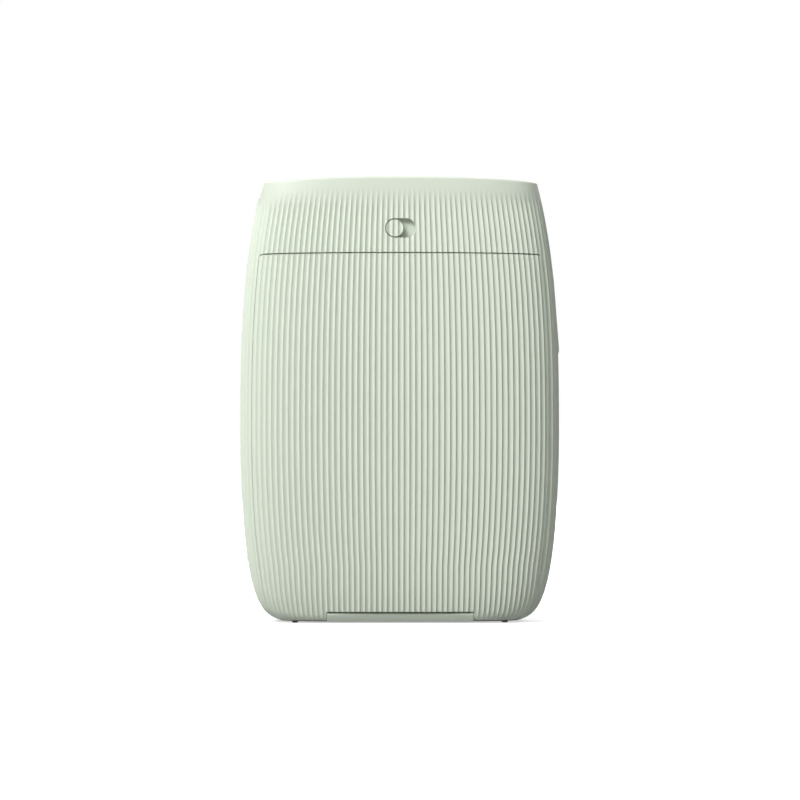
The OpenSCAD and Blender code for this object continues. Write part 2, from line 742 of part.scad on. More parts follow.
motor_l = 20;
module motor() {
  color(steel)
    difference() {
      union() {
        along_x(-plate_x + 0.05, motor_l)
          translate(motor_axis) intersection() {
            circle(d = 10, $fn = 64);
            square([8, 12], center = true);
          }
        along_x(-plate_x - 0.6, 0.7) translate(motor_axis) circle(d = 4, $fn = 48);
      }
      along_x(-plate_x - 1, 8) translate(motor_axis) circle(d = axle_bore, $fn = 32);
    }
}
module motor_shaft() {
  color(steel)
    along_x(layer_x(2) - 0.2, -plate_x + 6 - layer_x(2)) translate(motor_axis) circle(d = axle_d, $fn = 32);
}
module motor_pinion() {
  color("gold")
    along_x(layer_x(2), gear_w) translate(motor_axis) gear_outline(pinion_teeth, motor_phase, axle_d);
}

// Lips that lead the film from the rollers through the top.
module exit_guide() {
  color(black)
    difference() {
      translate([-exit_w / 2 - 0.8, -exit_gap / 2 - 0.7, roller_z + 5])
        cube([exit_w + 1.6, exit_gap + 1.4, body_h - crown - clear - roller_z - 5]);
      translate([-exit_w / 2 + 1, -exit_gap / 2, roller_z]) cube([exit_w - 2, exit_gap, 30]);
    }
}

// --- Exposure and electronics ------------------------------------------------------------

module exposure_head() {
  color([0.2, 0.2, 0.24])
    translate([-29, bay_front_y + bay_wall + 0.05, window_z - 4]) cube([58, 4, 8]);
}

module main_board() {
  color(board_green)
    difference() {
      translate([-28, board_y, 25]) cube([56, board_t, 64]);
      for (x = [-1, 1]) for (z = post_z)
        translate([x * 25, 0, z]) upright(board_y - 1, 3) circle(d = 2, $fn = 32);
    }
}

module board_chips() {
  color(black) {
    translate([-16, board_y + board_t, 64]) cube([9, 1, 9]);
    translate([2, board_y + board_t, 66]) cube([7, 1, 7]);
    translate([14, board_y + board_t, 70]) cube([5, 1.2, 4]);
    translate([-20, board_y - 1.4, 60]) cube([12, 1.4, 5]);
  }
}

module battery() {
  color("silver")
    translate([-21, bay_front_y + bay_wall + 0.2, 14]) cube([42, 6.2, 56]);
}

// --- Buttons -----------------------------------------------------------------------------------

power_face_y = half_d(button_z) - 0.15;
flange_front_y = inner_y(button_z + 12, 12, wall) - 1.2;
module power_button() {
  color(green)
    translate([0, 0, button_z]) {
      upright(flange_front_y - 0.9, power_face_y - flange_front_y + 0.9) circle(d = power_d, $fn = 96);
      upright(flange_front_y - 0.9, 0.9) circle(d = power_d + 2, $fn = 96);
    }
}

module power_ring() {
  color("white")
    translate([0, 0, button_z]) {
      upright(flange_front_y + 0.2, half_d(button_z) - flange_front_y - 0.3)
        difference() {
          circle(d = power_d + 2 * ring_w, $fn = 96);
          circle(d = power_d + 0.4, $fn = 96);
        }
    }
}

module power_switch() {
  color(steel)
    translate([0, 0, button_z]) {
      upright(board_y + board_t, 1.6) square(4.5, center = true);
      upright(board_y + board_t + 1.5, flange_front_y - board_y - board_t - 2.6 - power_travel) circle(d = 2, $fn = 32);
    }
}

// The side button sits on the parting line. It stands proud at its lower end, so
// its own frame leans less than the wall.
key_lean = 4.4;
key_face_x = half_w(key_z) + 0.1;
module key_frame() {
  translate([key_face_x, 0, key_z]) rotate([0, -key_lean, 0]) children();
}
module function_button() {
  color(green)
    key_frame() {
      translate([-3, 0, 0]) rotate([90, 0, 90]) linear_extrude(3) rotate(90) rounded_slot(key_l, key_w);
      translate([-3.4, -key_w / 2 - 0.8, -key_l / 2 - 1]) cube([0.8, key_w + 1.6, key_l + 2]);
      translate([-4.6, -1, -1]) cube([1.4, 2, 2]);
    }
}
module function_switch() {
  color(board_green)
    key_frame() {
      translate([-7.6, -3.5, -6]) cube([0.8, 7, 12]);
      translate([-6.8, -2, -2]) cube([1.2, 4, 4]);
      translate([-5.7, -0.7, -0.7]) cube([0.9 - key_travel, 1.4, 1.4]);
    }
}

module usb_outline(w, h, depth) {
  rotate([90, 0, 90]) linear_extrude(depth) rotate(90) rounded_slot(w, h);
}
usb_mouth_x = -half_w(usb_z) + 0.4;
module usb_socket() {
  color(steel)
    translate([usb_mouth_x, 0, usb_z])
      difference() {
        usb_outline(8.94, 3.26, 7.3);
        translate([-1, 0, 0]) usb_outline(8.3, 2.6, 7);
      }
  color(black)
    translate([usb_mouth_x + 1.5, -0.35, usb_z - 3.2]) cube([5, 0.7, 6.4]);
}
module usb_bezel() {
  color(black)
    translate([usb_mouth_x + 0.1, 0, usb_z])
      difference() {
        rotate([90, 0, 90]) linear_extrude(1.6) square([4.2, usb_opening_h - 0.2], center = true);
        translate([-1, 0, 0]) usb_outline(9.02, 3.34, 4);
      }
}
module usb_board() {
  color(board_green)
    translate([usb_mouth_x + 3, bay_front_y + bay_wall + 0.05, usb_z - 7])
      cube([-bay_outer_x - usb_mouth_x + 1.5, 0.8, 14]);
}

module case_screws() {
  color(steel)
    for (x = [-1, 1])
      translate([x * 12, -8, tongue_z + 1]) cylinder(d = 3, h = 0.8, $fn = 32);
}

rear_housing();
front_housing();
film_door();
door_liner();
hinge_block();
hinge_pin();
feet();
latch_knob();
latch_slider();
latch_guide();
pressure_pad_left();
pressure_pad_right();
pad_springs();
film_chamber();
drive_frame();
roller_bushes();
drive_roller();
pinch_roller();
drive_roller_gear();
pinch_roller_gear();
reduction_gear_one();
reduction_gear_two();
gear_axles();
motor();
motor_shaft();
motor_pinion();
exit_guide();
exposure_head();
main_board();
board_chips();
battery();
power_button();
power_ring();
power_switch();
function_button();
function_switch();
usb_socket();
usb_bezel();
usb_board();
case_screws();
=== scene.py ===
# %% [markdown]
# # A pocket printer for instant film
# The real object is a slim printer that stands on its end. Its whole skin is moulded in
# pale sage plastic with fine upright flutes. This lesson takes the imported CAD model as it
# is, makes the visible skins again as finer surfaces, and gives every part a finish of its
# own. Each step says what the piece is and why it is made this way.

# %% Load the frame
import json
from math import radians

import bpy
import numpy as np
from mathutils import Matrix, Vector

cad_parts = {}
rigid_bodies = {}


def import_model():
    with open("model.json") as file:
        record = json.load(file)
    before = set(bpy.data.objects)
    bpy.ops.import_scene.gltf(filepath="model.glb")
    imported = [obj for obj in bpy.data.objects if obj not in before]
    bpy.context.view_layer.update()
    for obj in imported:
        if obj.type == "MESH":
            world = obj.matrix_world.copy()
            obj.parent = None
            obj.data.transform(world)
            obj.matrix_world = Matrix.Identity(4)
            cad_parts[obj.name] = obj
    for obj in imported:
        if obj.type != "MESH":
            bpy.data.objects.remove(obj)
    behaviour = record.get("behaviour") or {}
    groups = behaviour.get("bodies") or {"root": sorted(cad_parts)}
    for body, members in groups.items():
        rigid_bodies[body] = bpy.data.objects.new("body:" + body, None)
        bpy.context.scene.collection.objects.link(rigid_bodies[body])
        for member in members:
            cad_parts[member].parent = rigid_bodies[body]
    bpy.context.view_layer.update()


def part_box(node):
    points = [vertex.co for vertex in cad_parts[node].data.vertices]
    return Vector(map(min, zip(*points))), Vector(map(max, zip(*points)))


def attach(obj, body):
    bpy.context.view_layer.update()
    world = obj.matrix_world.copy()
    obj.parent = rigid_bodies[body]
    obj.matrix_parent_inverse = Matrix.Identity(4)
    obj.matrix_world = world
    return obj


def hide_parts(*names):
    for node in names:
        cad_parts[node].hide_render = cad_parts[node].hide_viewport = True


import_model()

# %% [markdown]
# ## The sizes that the skins share
# The skins have to meet the CAD parts behind them, so they start from the same sizes.
# Everything is written in millimetres and becomes metres only when a mesh is filled.

# %% Sizes in millimetres
MM = 0.001
# half width and half depth at the waist, the full height, and the underside of the housings
HALF_W, HALF_D, HEIGHT, FOOT_H = 45.0, 18.65, 125.0, 0.4
# the waist, how far width and depth draw in above it, and how far the top's ends drop
WAIST_Z, DRAW_W, DRAW_D, CROWN = 52.0, 6.2, 3.2, 1.4
SQUARENESS = 3.8
FLUTES, FLUTE_DEPTH = 140, 0.42
QUARTER = FLUTES / 4
# the heights where the flutes end, and the distances over which they reach their full depth
FADE_TOP, FADE_TOP_H = 121.0, 5.0
FADE_LOW, FADE_LOW_H = 0.8, 3.4
UPRIGHT_Z = 16.0
WALL, DOOR_WALL = 1.6, 1.2
# the door's side edge as a flute number, the seam above the door and the seams beside it
DOOR_U, SEAM, SIDE_SEAM = 26.5, 0.3, 0.16
DOOR_LOW, DOOR_HIGH = 0.86, 103.45
BREAK = 0.09  # the small break on every moulded edge
print("flutes round the body:", FLUTES)

# %% [markdown]
# ## The body's form
# The body is a stack of rounded rectangles. A superellipse gives each level its rounded
# corners with one formula. Its width and depth grow fast above the ground, are largest at
# the waist, and draw in again towards the top. Lofting a few sections by hand would give
# the same outline, but a formula lets each skin ask for any point it needs.


# %% Form functions
def rise(z):
    """Share of the way from the waist to the top, 0 below the waist."""
    return np.clip(z - WAIST_Z, 0, None) / (HEIGHT - WAIST_Z)


def tuck(z):
    """Below the waist: one minus the share below to the power 1.8, to the power 1/13.5."""
    below = np.clip(WAIST_Z - z, 0, WAIST_Z) / WAIST_Z
    return (1 - below**1.8) ** (1 / 13.5)


def half_w(z):
    """Half the width: the waist's times the tuck, less the draw by the rise to the power 2.85."""
    return HALF_W * tuck(z) - DRAW_W * rise(z) ** 2.85


def half_d(z):
    """Half the depth: the waist's times the tuck, less the draw by the rise to the power 2.5."""
    return HALF_D * tuck(z) - DRAW_D * rise(z) ** 2.5


def ring(angle):
    """Superellipse of half size one: sine and minus cosine over their 3.8 norm."""
    s, c = np.sin(angle), np.cos(angle)
    norm = (np.abs(s) ** SQUARENESS + np.abs(c) ** SQUARENESS) ** (1 / SQUARENESS)
    return s / norm, -c / norm


widths = [round(float(half_w(z)), 2) for z in (FOOT_H, WAIST_Z, HEIGHT)]
print("half width at the underside, the waist and the top:", widths)

# %% [markdown]
# ## Flutes at equal steps
# On the real printer the flutes keep their pitch round the corners. Equal steps of angle
# would crowd them there, so a table of arc length along the widest section turns a flute
# number into an angle. Flute 0 is the middle of the door side and 70 the middle of the front.

# %% From flute number to angle
DEGREES = np.arange(181.0)
waist_x, waist_y = ring(np.radians(DEGREES))
steps = np.hypot(np.diff(HALF_W * waist_x), np.diff(HALF_D * waist_y))
ARC = np.concatenate([[0], np.cumsum(steps)])
PITCH = 2 * ARC[-1] / FLUTES
ARC_FLUTES = ARC / PITCH


def angle_at(u):
    """Angle of flute number u, read from the arc table; past 70 it runs on round the back."""
    near = np.where(u > FLUTES / 2, FLUTES - u, np.abs(u))
    angle = np.radians(np.interp(near, ARC_FLUTES, DEGREES))
    return np.where(u > FLUTES / 2, 2 * np.pi - angle, np.sign(u) * angle)


def flute_width(z):
    """Pitch of the flutes at height z: the waist's, drawn in with the width."""
    return PITCH * float(half_w(z)) / HALF_W


print("flute pitch:", round(float(PITCH), 3), "mm")

# %% [markdown]
# ## Flutes that stay upright near the ground
# Low down the body draws in fast. Flutes that kept their angle would lean inwards with it,
# but the real ones stay upright and fade out. So below 16 mm each flute moves out along the
# section by as much as the section has drawn in, and less and less towards the corners.


# %% Upright flutes and their depth
def crowding(z):
    """The tuck at 16 mm over the tuck at z, less one; zero above 16 mm."""
    return tuck(UPRIGHT_Z) / tuck(np.minimum(z, UPRIGHT_Z)) - 1


def ring_at(u, z):
    """The rounded section at flute u, whose flutes stay upright near the ground: each one
    moves out by the crowding, times one minus the squared share of its quarter."""
    middle = np.where(np.abs(u) > QUARTER, FLUTES / 2, 0.0)
    v = u - middle
    return ring(angle_at(middle + v * (1 + crowding(z) * (1 - (v / QUARTER) ** 2))))


def flute_at_x(x, z):
    """Flute number on the door side at distance x from the middle, at height z: read from a
    table of the plain section, then put back by the crowding in thirty rounds."""
    table_u = np.linspace(0, QUARTER - 1, 1500)
    table_x = ring(angle_at(table_u))[0]
    leaned = np.interp(np.abs(x) / half_w(z), table_x, table_u)
    u = leaned
    for _ in range(30):
        u = leaned / (1 + crowding(z) * (1 - (u / QUARTER) ** 2))
    return np.sign(x) * u


def groove(u, z):
    """A shallow parabola between two crests, fading out below the top and above the ground."""
    across = 2 * (u - np.round(u))
    fade_high = np.clip((FADE_TOP - z) / FADE_TOP_H, 0, 1)
    fade_low = np.clip((z - FADE_LOW) / FADE_LOW_H, 0, 1)
    return FLUTE_DEPTH * (fade_high * fade_low) * (1 - across**2)


print("flute 10 at the ground and at the waist, mm:",
      *(round(float(ring_at(np.array(10.0), z)[0] * half_w(z)), 2) for z in (1.0, WAIST_Z)))

# %% [markdown]
# ## Points of the skin
# Every skin is a grid of flute number against height. On the floor and the top the rows
# leave the rounded section and lead to a straight line on the parting plane, where the two
# housings meet and where the film leaves through its slot.


# %% The skin as a grid
def end_shift(z, depth):
    """How far a layer that lies depth inside moves off the floor and the top: the depth, times
    a share that falls to zero over 8 mm from the floor and over 10 mm from the top."""
    return depth * (np.clip(1 - (z - FOOT_H) / 8, 0, None) - np.clip(1 - (HEIGHT - z) / 10, 0, None))


def skin_points(u, z, inset, keep, flat, depth=0.0, fluted=True):
    """Ring at height z less depth and inset, which counts 30 percent less for each millimetre
    of depth. keep scales y and draws x in by up to 6 percent, flat turns the row straight with
    even steps. The crown lowers each point by the power 2.5 of its share of the half width,
    times the power 3.3 of the rise."""
    rx, ry = ring_at(u, z)
    even = np.where(np.abs(u) <= QUARTER, u / QUARTER, 2 - np.abs(u) / QUARTER)
    share = rx + (even - rx) * flat
    side = ry + (np.sign(ry) * (1 - even**16) - ry) * flat
    inward = inset * (1 - 0.3 * depth) + depth
    if fluted:
        inward = inward + groove(u, z) * (keep > 0.99)
    level = z + end_shift(z, depth)
    x = share * (half_w(level) - inward) * (0.94 + 0.06 * keep)
    y = side * (half_d(level) - inward) * keep
    return np.stack([x, y, level - CROWN * np.abs(share) ** 2.5 * rise(level) ** 3.3], -1)


crest, hollow = (skin_points(np.array([u]), np.array([WAIST_Z]), 0, 1, 0)[0] for u in (0.5, 0.0))
print("crest and hollow at the waist, y in mm:", round(crest[1], 3), round(hollow[1], 3))

# %% [markdown]
# ## Filling a mesh
# Large meshes are slow to build face by face. Here whole arrays of corners go in at once.
# Points that no face uses are dropped, and sharp crests are marked by their angle, so that
# the flutes stay crisp while their hollows shade smoothly.

# %% Mesh from arrays
CREASE = radians(30)


def fill_mesh(name, points, faces, body, slot, instead):
    """points is n by 3 in millimetres; faces is a list of corner arrays, quads or triangles."""
    corners = np.concatenate([f.ravel() for f in faces])
    used, corners = np.unique(corners, return_inverse=True)
    sizes = np.concatenate([np.full(len(f), f.shape[1]) for f in faces])
    mesh = bpy.data.meshes.new(name)
    mesh.vertices.add(len(used))
    mesh.vertices.foreach_set("co", (points.reshape(-1, 3)[used] * MM).astype(np.float32).ravel())
    mesh.loops.add(len(corners))
    mesh.loops.foreach_set("vertex_index", corners.astype(np.int32).ravel())
    mesh.polygons.add(len(sizes))
    starts = np.concatenate([[0], np.cumsum(sizes)[:-1]])
    mesh.polygons.foreach_set("loop_start", starts.astype(np.int32))
    mesh.update(calc_edges=True)
    mesh.polygons.foreach_set("use_smooth", np.ones(len(sizes), bool))
    mesh.set_sharp_from_angle(angle=CREASE)
    piece = bpy.data.objects.new(name, mesh)
    bpy.context.scene.collection.objects.link(piece)
    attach(piece, body)
    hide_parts(*instead)
    print(name, len(used), "points,", int((sizes - 2).sum()), "triangles")


def tube_cells(rows, columns, first=0):
    """Corner numbers of every cell of a grid that closes round its columns."""
    number = first + np.arange(rows * columns).reshape(rows, columns)
    number = np.concatenate([number, number[:, :1]], 1)
    a, b, c, d = number[:-1, :-1], number[:-1, 1:], number[1:, 1:], number[1:, :-1]
    return np.stack([a, b, c, d], -1).reshape(-1, 4)


def fan(first, count, tip, turned):
    """Triangles from a ring of points to one tip."""
    a = first + np.arange(count)
    b = first + (np.arange(count) + 1) % count
    return np.stack([b, a, np.full(count, tip)] if turned else [a, b, np.full(count, tip)], -1)


print("cells of a tube of 3 rows and 4 columns:", len(tube_cells(3, 4)))

# %% [markdown]
# ## A wall with openings
# Cutting a slot into a dense mesh with a boolean leaves ragged shading beside the cut. The
# way taken here keeps every flute straight: the columns stay where they are, and only the
# rows bend along the opening's outline. Three layers make the wall: the lip, which stands
# back a little from the edge, the broken corner, and the inner face.


# %% An opening
class Opening:
    """A rounded rectangle in the skin: its middle, straight half sizes and end radius. least is
    the half height at which a round end is cut off upright, per_flute a flute's width there."""

    def __init__(self, u, z, straight_x, straight_z, radius, least=0.0, per_flute=PITCH):
        self.u, self.z, self.radius = u, z, radius
        self.straight_x, self.straight_z = straight_x, straight_z
        self.least, self.per_flute = least, per_flute

    def reach(self, grow):
        """Half the width, in flutes: straight part and the chord of the rounded end."""
        r = self.radius + grow
        return (self.straight_x + np.sqrt(r**2 - self.least**2)) / self.per_flute

    def edge(self, side, u, grow):
        """Height of the outline over column u: straight part and the end's arc."""
        r = self.radius + grow
        past = np.clip(np.abs(u - self.u) * self.per_flute - self.straight_x, 0, None)
        arc = np.sqrt(np.clip(r**2 - past**2, self.least**2, None))
        return self.z + side * (self.straight_z + arc)

    def columns(self):
        """Extra columns where the rounded end is steep."""
        turns = np.radians([50, 62, 72, 80, 86])
        near = (self.straight_x + self.radius * np.sin(turns)) / self.per_flute
        ends = self.reach(0)
        return np.concatenate([self.u - near, self.u + near]), np.array([self.u - ends, self.u + ends])


trial = Opening(0, WAIST_Z, 1.0, 0, 2.0)
print("an opening 6 mm wide reaches", round(float(trial.reach(0)), 2), "flutes to each side")

# %% [markdown]
# The columns follow the flutes, six to each, so that crest and hollow keep their form. An
# opening adds columns where its rounded ends are steep, and plain ones beside them give way.

# %% Columns across a skin
FLUTE_STEPS = np.array([-0.5, -0.36, -0.19, 0, 0.19, 0.36])
# the least distances, in flutes: plain to border, plain to edge, plain to extra, extra to edge
BORDER_GAP, EDGE_GAP, EXTRA_GAP, LEAST_GAP = 0.12, 0.13, 0.03, 0.004


def columns_between(first, last, openings=(), fixed=()):
    """Six columns to a flute, joined by those that the openings' ends need."""
    flutes = np.arange(np.floor(first), np.ceil(last) + 1)
    plain = (flutes[:, None] + FLUTE_STEPS).ravel()
    plain = plain[(plain > first + BORDER_GAP) & (plain < last - BORDER_GAP)]
    extra, ends = np.array([]), np.array([first, last, *fixed])
    for opening in openings:
        near, edge = opening.columns()
        extra, ends = np.append(extra, near), np.append(ends, edge)
    ends = np.unique(np.round(ends[(ends >= first) & (ends <= last)], 6))
    plain = plain[np.min(np.abs(plain[:, None] - ends), 1) > EDGE_GAP]
    extra = extra[(extra > first) & (extra < last)]
    if len(extra):
        extra = extra[np.min(np.abs(extra[:, None] - ends), 1) > LEAST_GAP]
        plain = plain[np.min(np.abs(plain[:, None] - extra), 1) > EXTRA_GAP]
    return np.sort(np.concatenate([plain, extra, ends]))


def column_number(columns, u):
    """The column that lies nearest to flute number u."""
    return int(np.argmin(np.abs(columns - u)))


print("columns over ten flutes:", len(columns_between(0, 10)))

# %% [markdown]
# The rows are given by guides. A guide is a plain height or the lower or upper edge of an
# opening, and the rows between two guides share the distance out evenly.


# %% Rows from guides
def guide_rows(guides, u, grow):
    """Straight blend between neighbouring guides, in the number of steps each one names."""
    levels = [
        guide[0].edge(guide[1], u, grow) if isinstance(guide, tuple) else np.full_like(u, guide)
        for guide, _ in guides
    ]
    rows = [
        low + (high - low) * s
        for low, high, (_, count) in zip(levels, levels[1:], guides)
        for s in np.arange(count) / count
    ]
    return np.stack([*rows, levels[-1]])


def guide_row(guides, wanted):
    """The row on which a guide lies."""
    place = [guide for guide, _ in guides].index(wanted)
    return sum(count for _, count in guides[:place])


print("rows from 0 to 3 mm in three steps:", *guide_rows([(0.0, 3), (3.0, 1)], np.zeros(1), 0)[:, 0])

# %% [markdown]
# With the grids ready, the wall's faces follow. A cell that an opening takes is left out of
# the outer and the inner face, and every border between a kept and a missing cell gets a rim
# of two strips: one for the broken corner and one through the wall.


# %% Faces of a wall
def wall_mesh(lip, corner, inner, solid):
    """Outer, rim and inner faces of a wall, from its three layers and the cells it keeps."""
    rows, columns = solid.shape[0] + 1, solid.shape[1] + 1
    number = np.arange(rows * columns).reshape(rows, columns)
    layer = rows * columns
    a, b, c, d = (number[:-1, :-1][solid], number[:-1, 1:][solid],
                  number[1:, 1:][solid], number[1:, :-1][solid])
    faces = [np.stack([a, b, c, d], -1), 2 * layer + np.stack([a, d, c, b], -1)]
    padded = np.pad(solid, 1)
    below, above = padded[:-1, 1:-1], padded[1:, 1:-1]
    left, right = padded[1:-1, :-1], padded[1:-1, 1:]
    starts, ends = [], []
    for mask, start, end in (
        (below & ~above, number[:, :-1], number[:, 1:]),
        (above & ~below, number[:, 1:], number[:, :-1]),
        (left & ~right, number[1:], number[:-1]),
        (right & ~left, number[:-1], number[1:]),
    ):
        starts.append(start[mask])
        ends.append(end[mask])
    start, end = np.concatenate(starts), np.concatenate(ends)
    for outer, deeper in ((0, layer), (layer, 2 * layer)):
        faces.append(np.stack([outer + start, outer + end, deeper + end, deeper + start], -1))
    points = np.concatenate([layer_points.reshape(-1, 3) for layer_points in (lip, corner, inner)])
    return points, faces


one_cell = np.zeros((2, 2, 3))
print("faces of a wall of one cell:",
      sum(len(f) for f in wall_mesh(one_cell, one_cell, one_cell, np.ones((1, 1), bool))[1]))

# %% [markdown]
# ## The openings of the body
# Seen from the door side there is a pill-shaped recess for the latch above the door. Half
# of the long button's slot lies in each housing on the right, and half of the charging
# socket's on the left. On the front, a round opening holds the light ring.

# %% Openings
LATCH_Z, KEY_Z, USB_Z, BUTTON_Z = 110.5, 86.7, 22.0, 50.0
END_CUT, HOLE_R = 0.45, 0.9
latch_slot = Opening(0, LATCH_Z, 1.6, 0, 2.7, END_CUT, flute_width(LATCH_Z))
key_slot = Opening(QUARTER, KEY_Z, 0, 9.0, 2.3)
usb_slot_rear = Opening(-QUARTER, USB_Z, 1.8, 4.2, 0.6)
usb_slot_front = Opening(3 * QUARTER, USB_Z, 1.8, 4.2, 0.6, per_flute=flute_width(USB_Z))
ring_hole = Opening(2 * QUARTER, BUTTON_Z, 0, 0, 9.55, END_CUT, flute_width(BUTTON_Z))
DOOR_HOLE_U = DOOR_U + SIDE_SEAM / 2 / PITCH
door_hole = Opening(0, DOOR_HIGH + SEAM - HOLE_R, DOOR_HOLE_U * PITCH - HOLE_R, 0, HOLE_R)
print("latch slot reaches", round(float(latch_slot.reach(0)), 3), "flutes")

# %% [markdown]
# ## The two housings
# Each housing is one wall from the floor to the top. Low down and near the top the rows lie
# close together, because the form turns quickly there; between them the flutes run straight
# and a few rows are enough. The top edge is a quarter circle of 0.45 mm, and inside it the
# rows flatten towards the slot that the film leaves by.

# %% Rows of the floor and the top
EDGE_R = 0.45
EXIT_U, EXIT_HALF = 30, 2.1  # half length of the film's slot in flutes, half its width in mm
EXIT_KEEP = EXIT_HALF / float(half_d(HEIGHT) - EDGE_R)
TOP_PITCH = 1.03  # a flute's width beside the slot, nearly
FLOOR_ROWS = 3
LOW_GUIDES = [(height, 1) for height in (
    FOOT_H, 0.45, 0.55, 0.75, 1.05, 1.5, 2.1, 3.0, 4.2, 6.0, 8.5, 12.0, 15.0)]
# each row of the top and the floor: height, inset, keep and flat, as skin_points takes them
TOP_EDGE = [(HEIGHT - EDGE_R + EDGE_R * np.sin(turn), EDGE_R * (1 - np.cos(turn)), 1.0, 0.0)
            for turn in np.radians([0, 18, 36, 54, 72, 90])]
TOP_FLAT = [(HEIGHT, EDGE_R, keep, flat)
            for keep, flat in ((0.93, 0.05), (0.8, 0.25), (0.6, 0.6), (0.4, 0.9))]
FLOOR_FLAT = [(FOOT_H, 0, 0.45, 0.9), (FOOT_H, 0, 0.86, 0.0)]
print("rows of the top:", len(TOP_EDGE) + len(TOP_FLAT) + 2)


# %% A housing from its guides
def window(opening, guides, columns):
    """An opening's lowest and highest row and its first and last column. The door's opening
    has no lower edge and starts at the lowest guide."""
    low = 0 if opening is door_hole else guide_row(guides, (opening, -1))
    sides = [column_number(columns, opening.u + side * opening.reach(0)) for side in (-1, 1)]
    return low, guide_row(guides, (opening, 1)), *sides


def housing(name, columns, guides, openings, instead):
    """Floor rows, guided rows and top rows in one grid, less the cells of the openings."""
    windows = {opening: window(opening, guides, columns) for opening in openings}
    middle = (columns[0] + columns[-1]) / 2
    exit_columns = [column_number(columns, middle + side * EXIT_U) for side in (-1, 1)]

    def layer(grow, depth, fluted=True):
        """The whole grid, set back by grow at every edge and lying depth inside the skin."""
        u = columns.copy()
        u[0], u[-1] = u[0] + grow / PITCH, u[-1] - grow / PITCH
        z = guide_rows(guides, u, grow)
        u = np.tile(u, (len(z), 1))
        for opening, (low, high, first, last) in windows.items():
            if first > 0:
                u[low:high + 1, first] -= grow / opening.per_flute
            if last < len(columns) - 1:
                u[low:high + 1, last] += grow / opening.per_flute
        line_keep = grow / float(half_d(HEIGHT))
        slot_keep = EXIT_KEEP * (1 + grow / EXIT_HALF)
        floor_rows = [(FOOT_H, 0, line_keep, 1.0), *FLOOR_FLAT]
        top_rows = [*TOP_EDGE, *TOP_FLAT, (HEIGHT, EDGE_R, slot_keep, 1.0), (HEIGHT, EDGE_R, line_keep, 1.0)]
        ends = np.array([*floor_rows, *top_rows])[:, None, :] * np.ones((1, len(columns), 1))
        plain = np.zeros_like(z)
        heights, inset, keep, flat = (
            np.concatenate([ends[:FLOOR_ROWS, :, k], between, ends[FLOOR_ROWS:, :, k]])
            for k, between in enumerate((z, plain, plain + 1, plain)))
        u = np.concatenate([*[u[:1]] * FLOOR_ROWS, u, *[u[-1:]] * len(top_rows)])
        for k in (-2, -1):
            u[k, exit_columns[0]] -= grow / TOP_PITCH
            u[k, exit_columns[1]] += grow / TOP_PITCH
        return skin_points(u, heights, inset, keep, flat, depth, fluted)

    lip, corner, inner = layer(BREAK, 0), layer(0, BREAK), layer(0, WALL, False)
    solid = np.ones((lip.shape[0] - 1, len(columns) - 1), bool)
    for opening, (low, high, first, last) in windows.items():
        bottom = FLOOR_ROWS - 1 if opening is door_hole else FLOOR_ROWS + low
        solid[bottom:FLOOR_ROWS + high, first:last] = False
    solid[-1, exit_columns[0]:exit_columns[1]] = False
    points, faces = wall_mesh(lip, corner, inner, solid)
    fill_mesh(name, points, faces, "case", "shell_green", instead)


# %% The rear housing, round the door
housing(
    "rear_skin",
    columns_between(-QUARTER, QUARTER, [latch_slot, key_slot, usb_slot_rear],
                    [-DOOR_HOLE_U, DOOR_HOLE_U, -EXIT_U, EXIT_U]),
    [
        *LOW_GUIDES, ((usb_slot_rear, -1), 3), ((usb_slot_rear, 1), 2), (34.0, 3), (WAIST_Z, 4),
        (70.0, 2), ((key_slot, -1), 4), ((key_slot, 1), 2), ((door_hole, 1), 3),
        ((latch_slot, -1), 1), ((latch_slot, 1), 2), (116.0, 3), (118.5, 2), (FADE_TOP, 2),
        (HEIGHT - EDGE_R - 0.5, 1),
    ],
    [usb_slot_rear, key_slot, door_hole, latch_slot],
    ["rear_housing"])

# %% The front housing, with the round opening
housing(
    "front_skin",
    columns_between(QUARTER, 3 * QUARTER, [ring_hole, key_slot, usb_slot_front],
                    [2 * QUARTER - EXIT_U, 2 * QUARTER + EXIT_U]),
    [
        *LOW_GUIDES, ((usb_slot_front, -1), 3), ((usb_slot_front, 1), 3), ((ring_hole, -1), 6),
        ((ring_hole, 1), 3), (70.0, 2), ((key_slot, -1), 4), ((key_slot, 1), 3), (110.0, 2),
        (116.0, 2), (118.5, 2), (FADE_TOP, 2), (HEIGHT - EDGE_R - 0.5, 1),
    ],
    [key_slot, usb_slot_front, ring_hole],
    ["front_housing"])

# %% [markdown]
# ## The film door
# The door is a piece of the same skin, so its flutes run on from the housing's. It gets the
# same three layers, with its edges set back from the housing's by the seams, and a notch at
# the bottom that leaves room for the hinge barrel.

# %% The door's grid
DOOR_SKIN_U = DOOR_U - SIDE_SEAM / 2 / PITCH
CORNER_R = 0.7
NOTCH_X, NOTCH_Z = 20.8, 3.3
notch_u = [float(flute_at_x(side * NOTCH_X, NOTCH_Z)) for side in (-1, 1)]
door_columns = columns_between(-DOOR_SKIN_U, DOOR_SKIN_U, fixed=notch_u)
notch = [column_number(door_columns, u) for u in notch_u]
door_heights = np.array([DOOR_LOW, 0.95, 1.2, 1.6, 2.1, 2.7, NOTCH_Z, 4.2, 6.0, 8.5, 12, 16, 21, 27,
                         34, 42, 52, 62, 72, 82, 92, 99, DOOR_HIGH])
NOTCH_ROW = int(np.argmin(np.abs(door_heights - NOTCH_Z)))
print("the notch ends at row", NOTCH_ROW, "and columns", *notch)


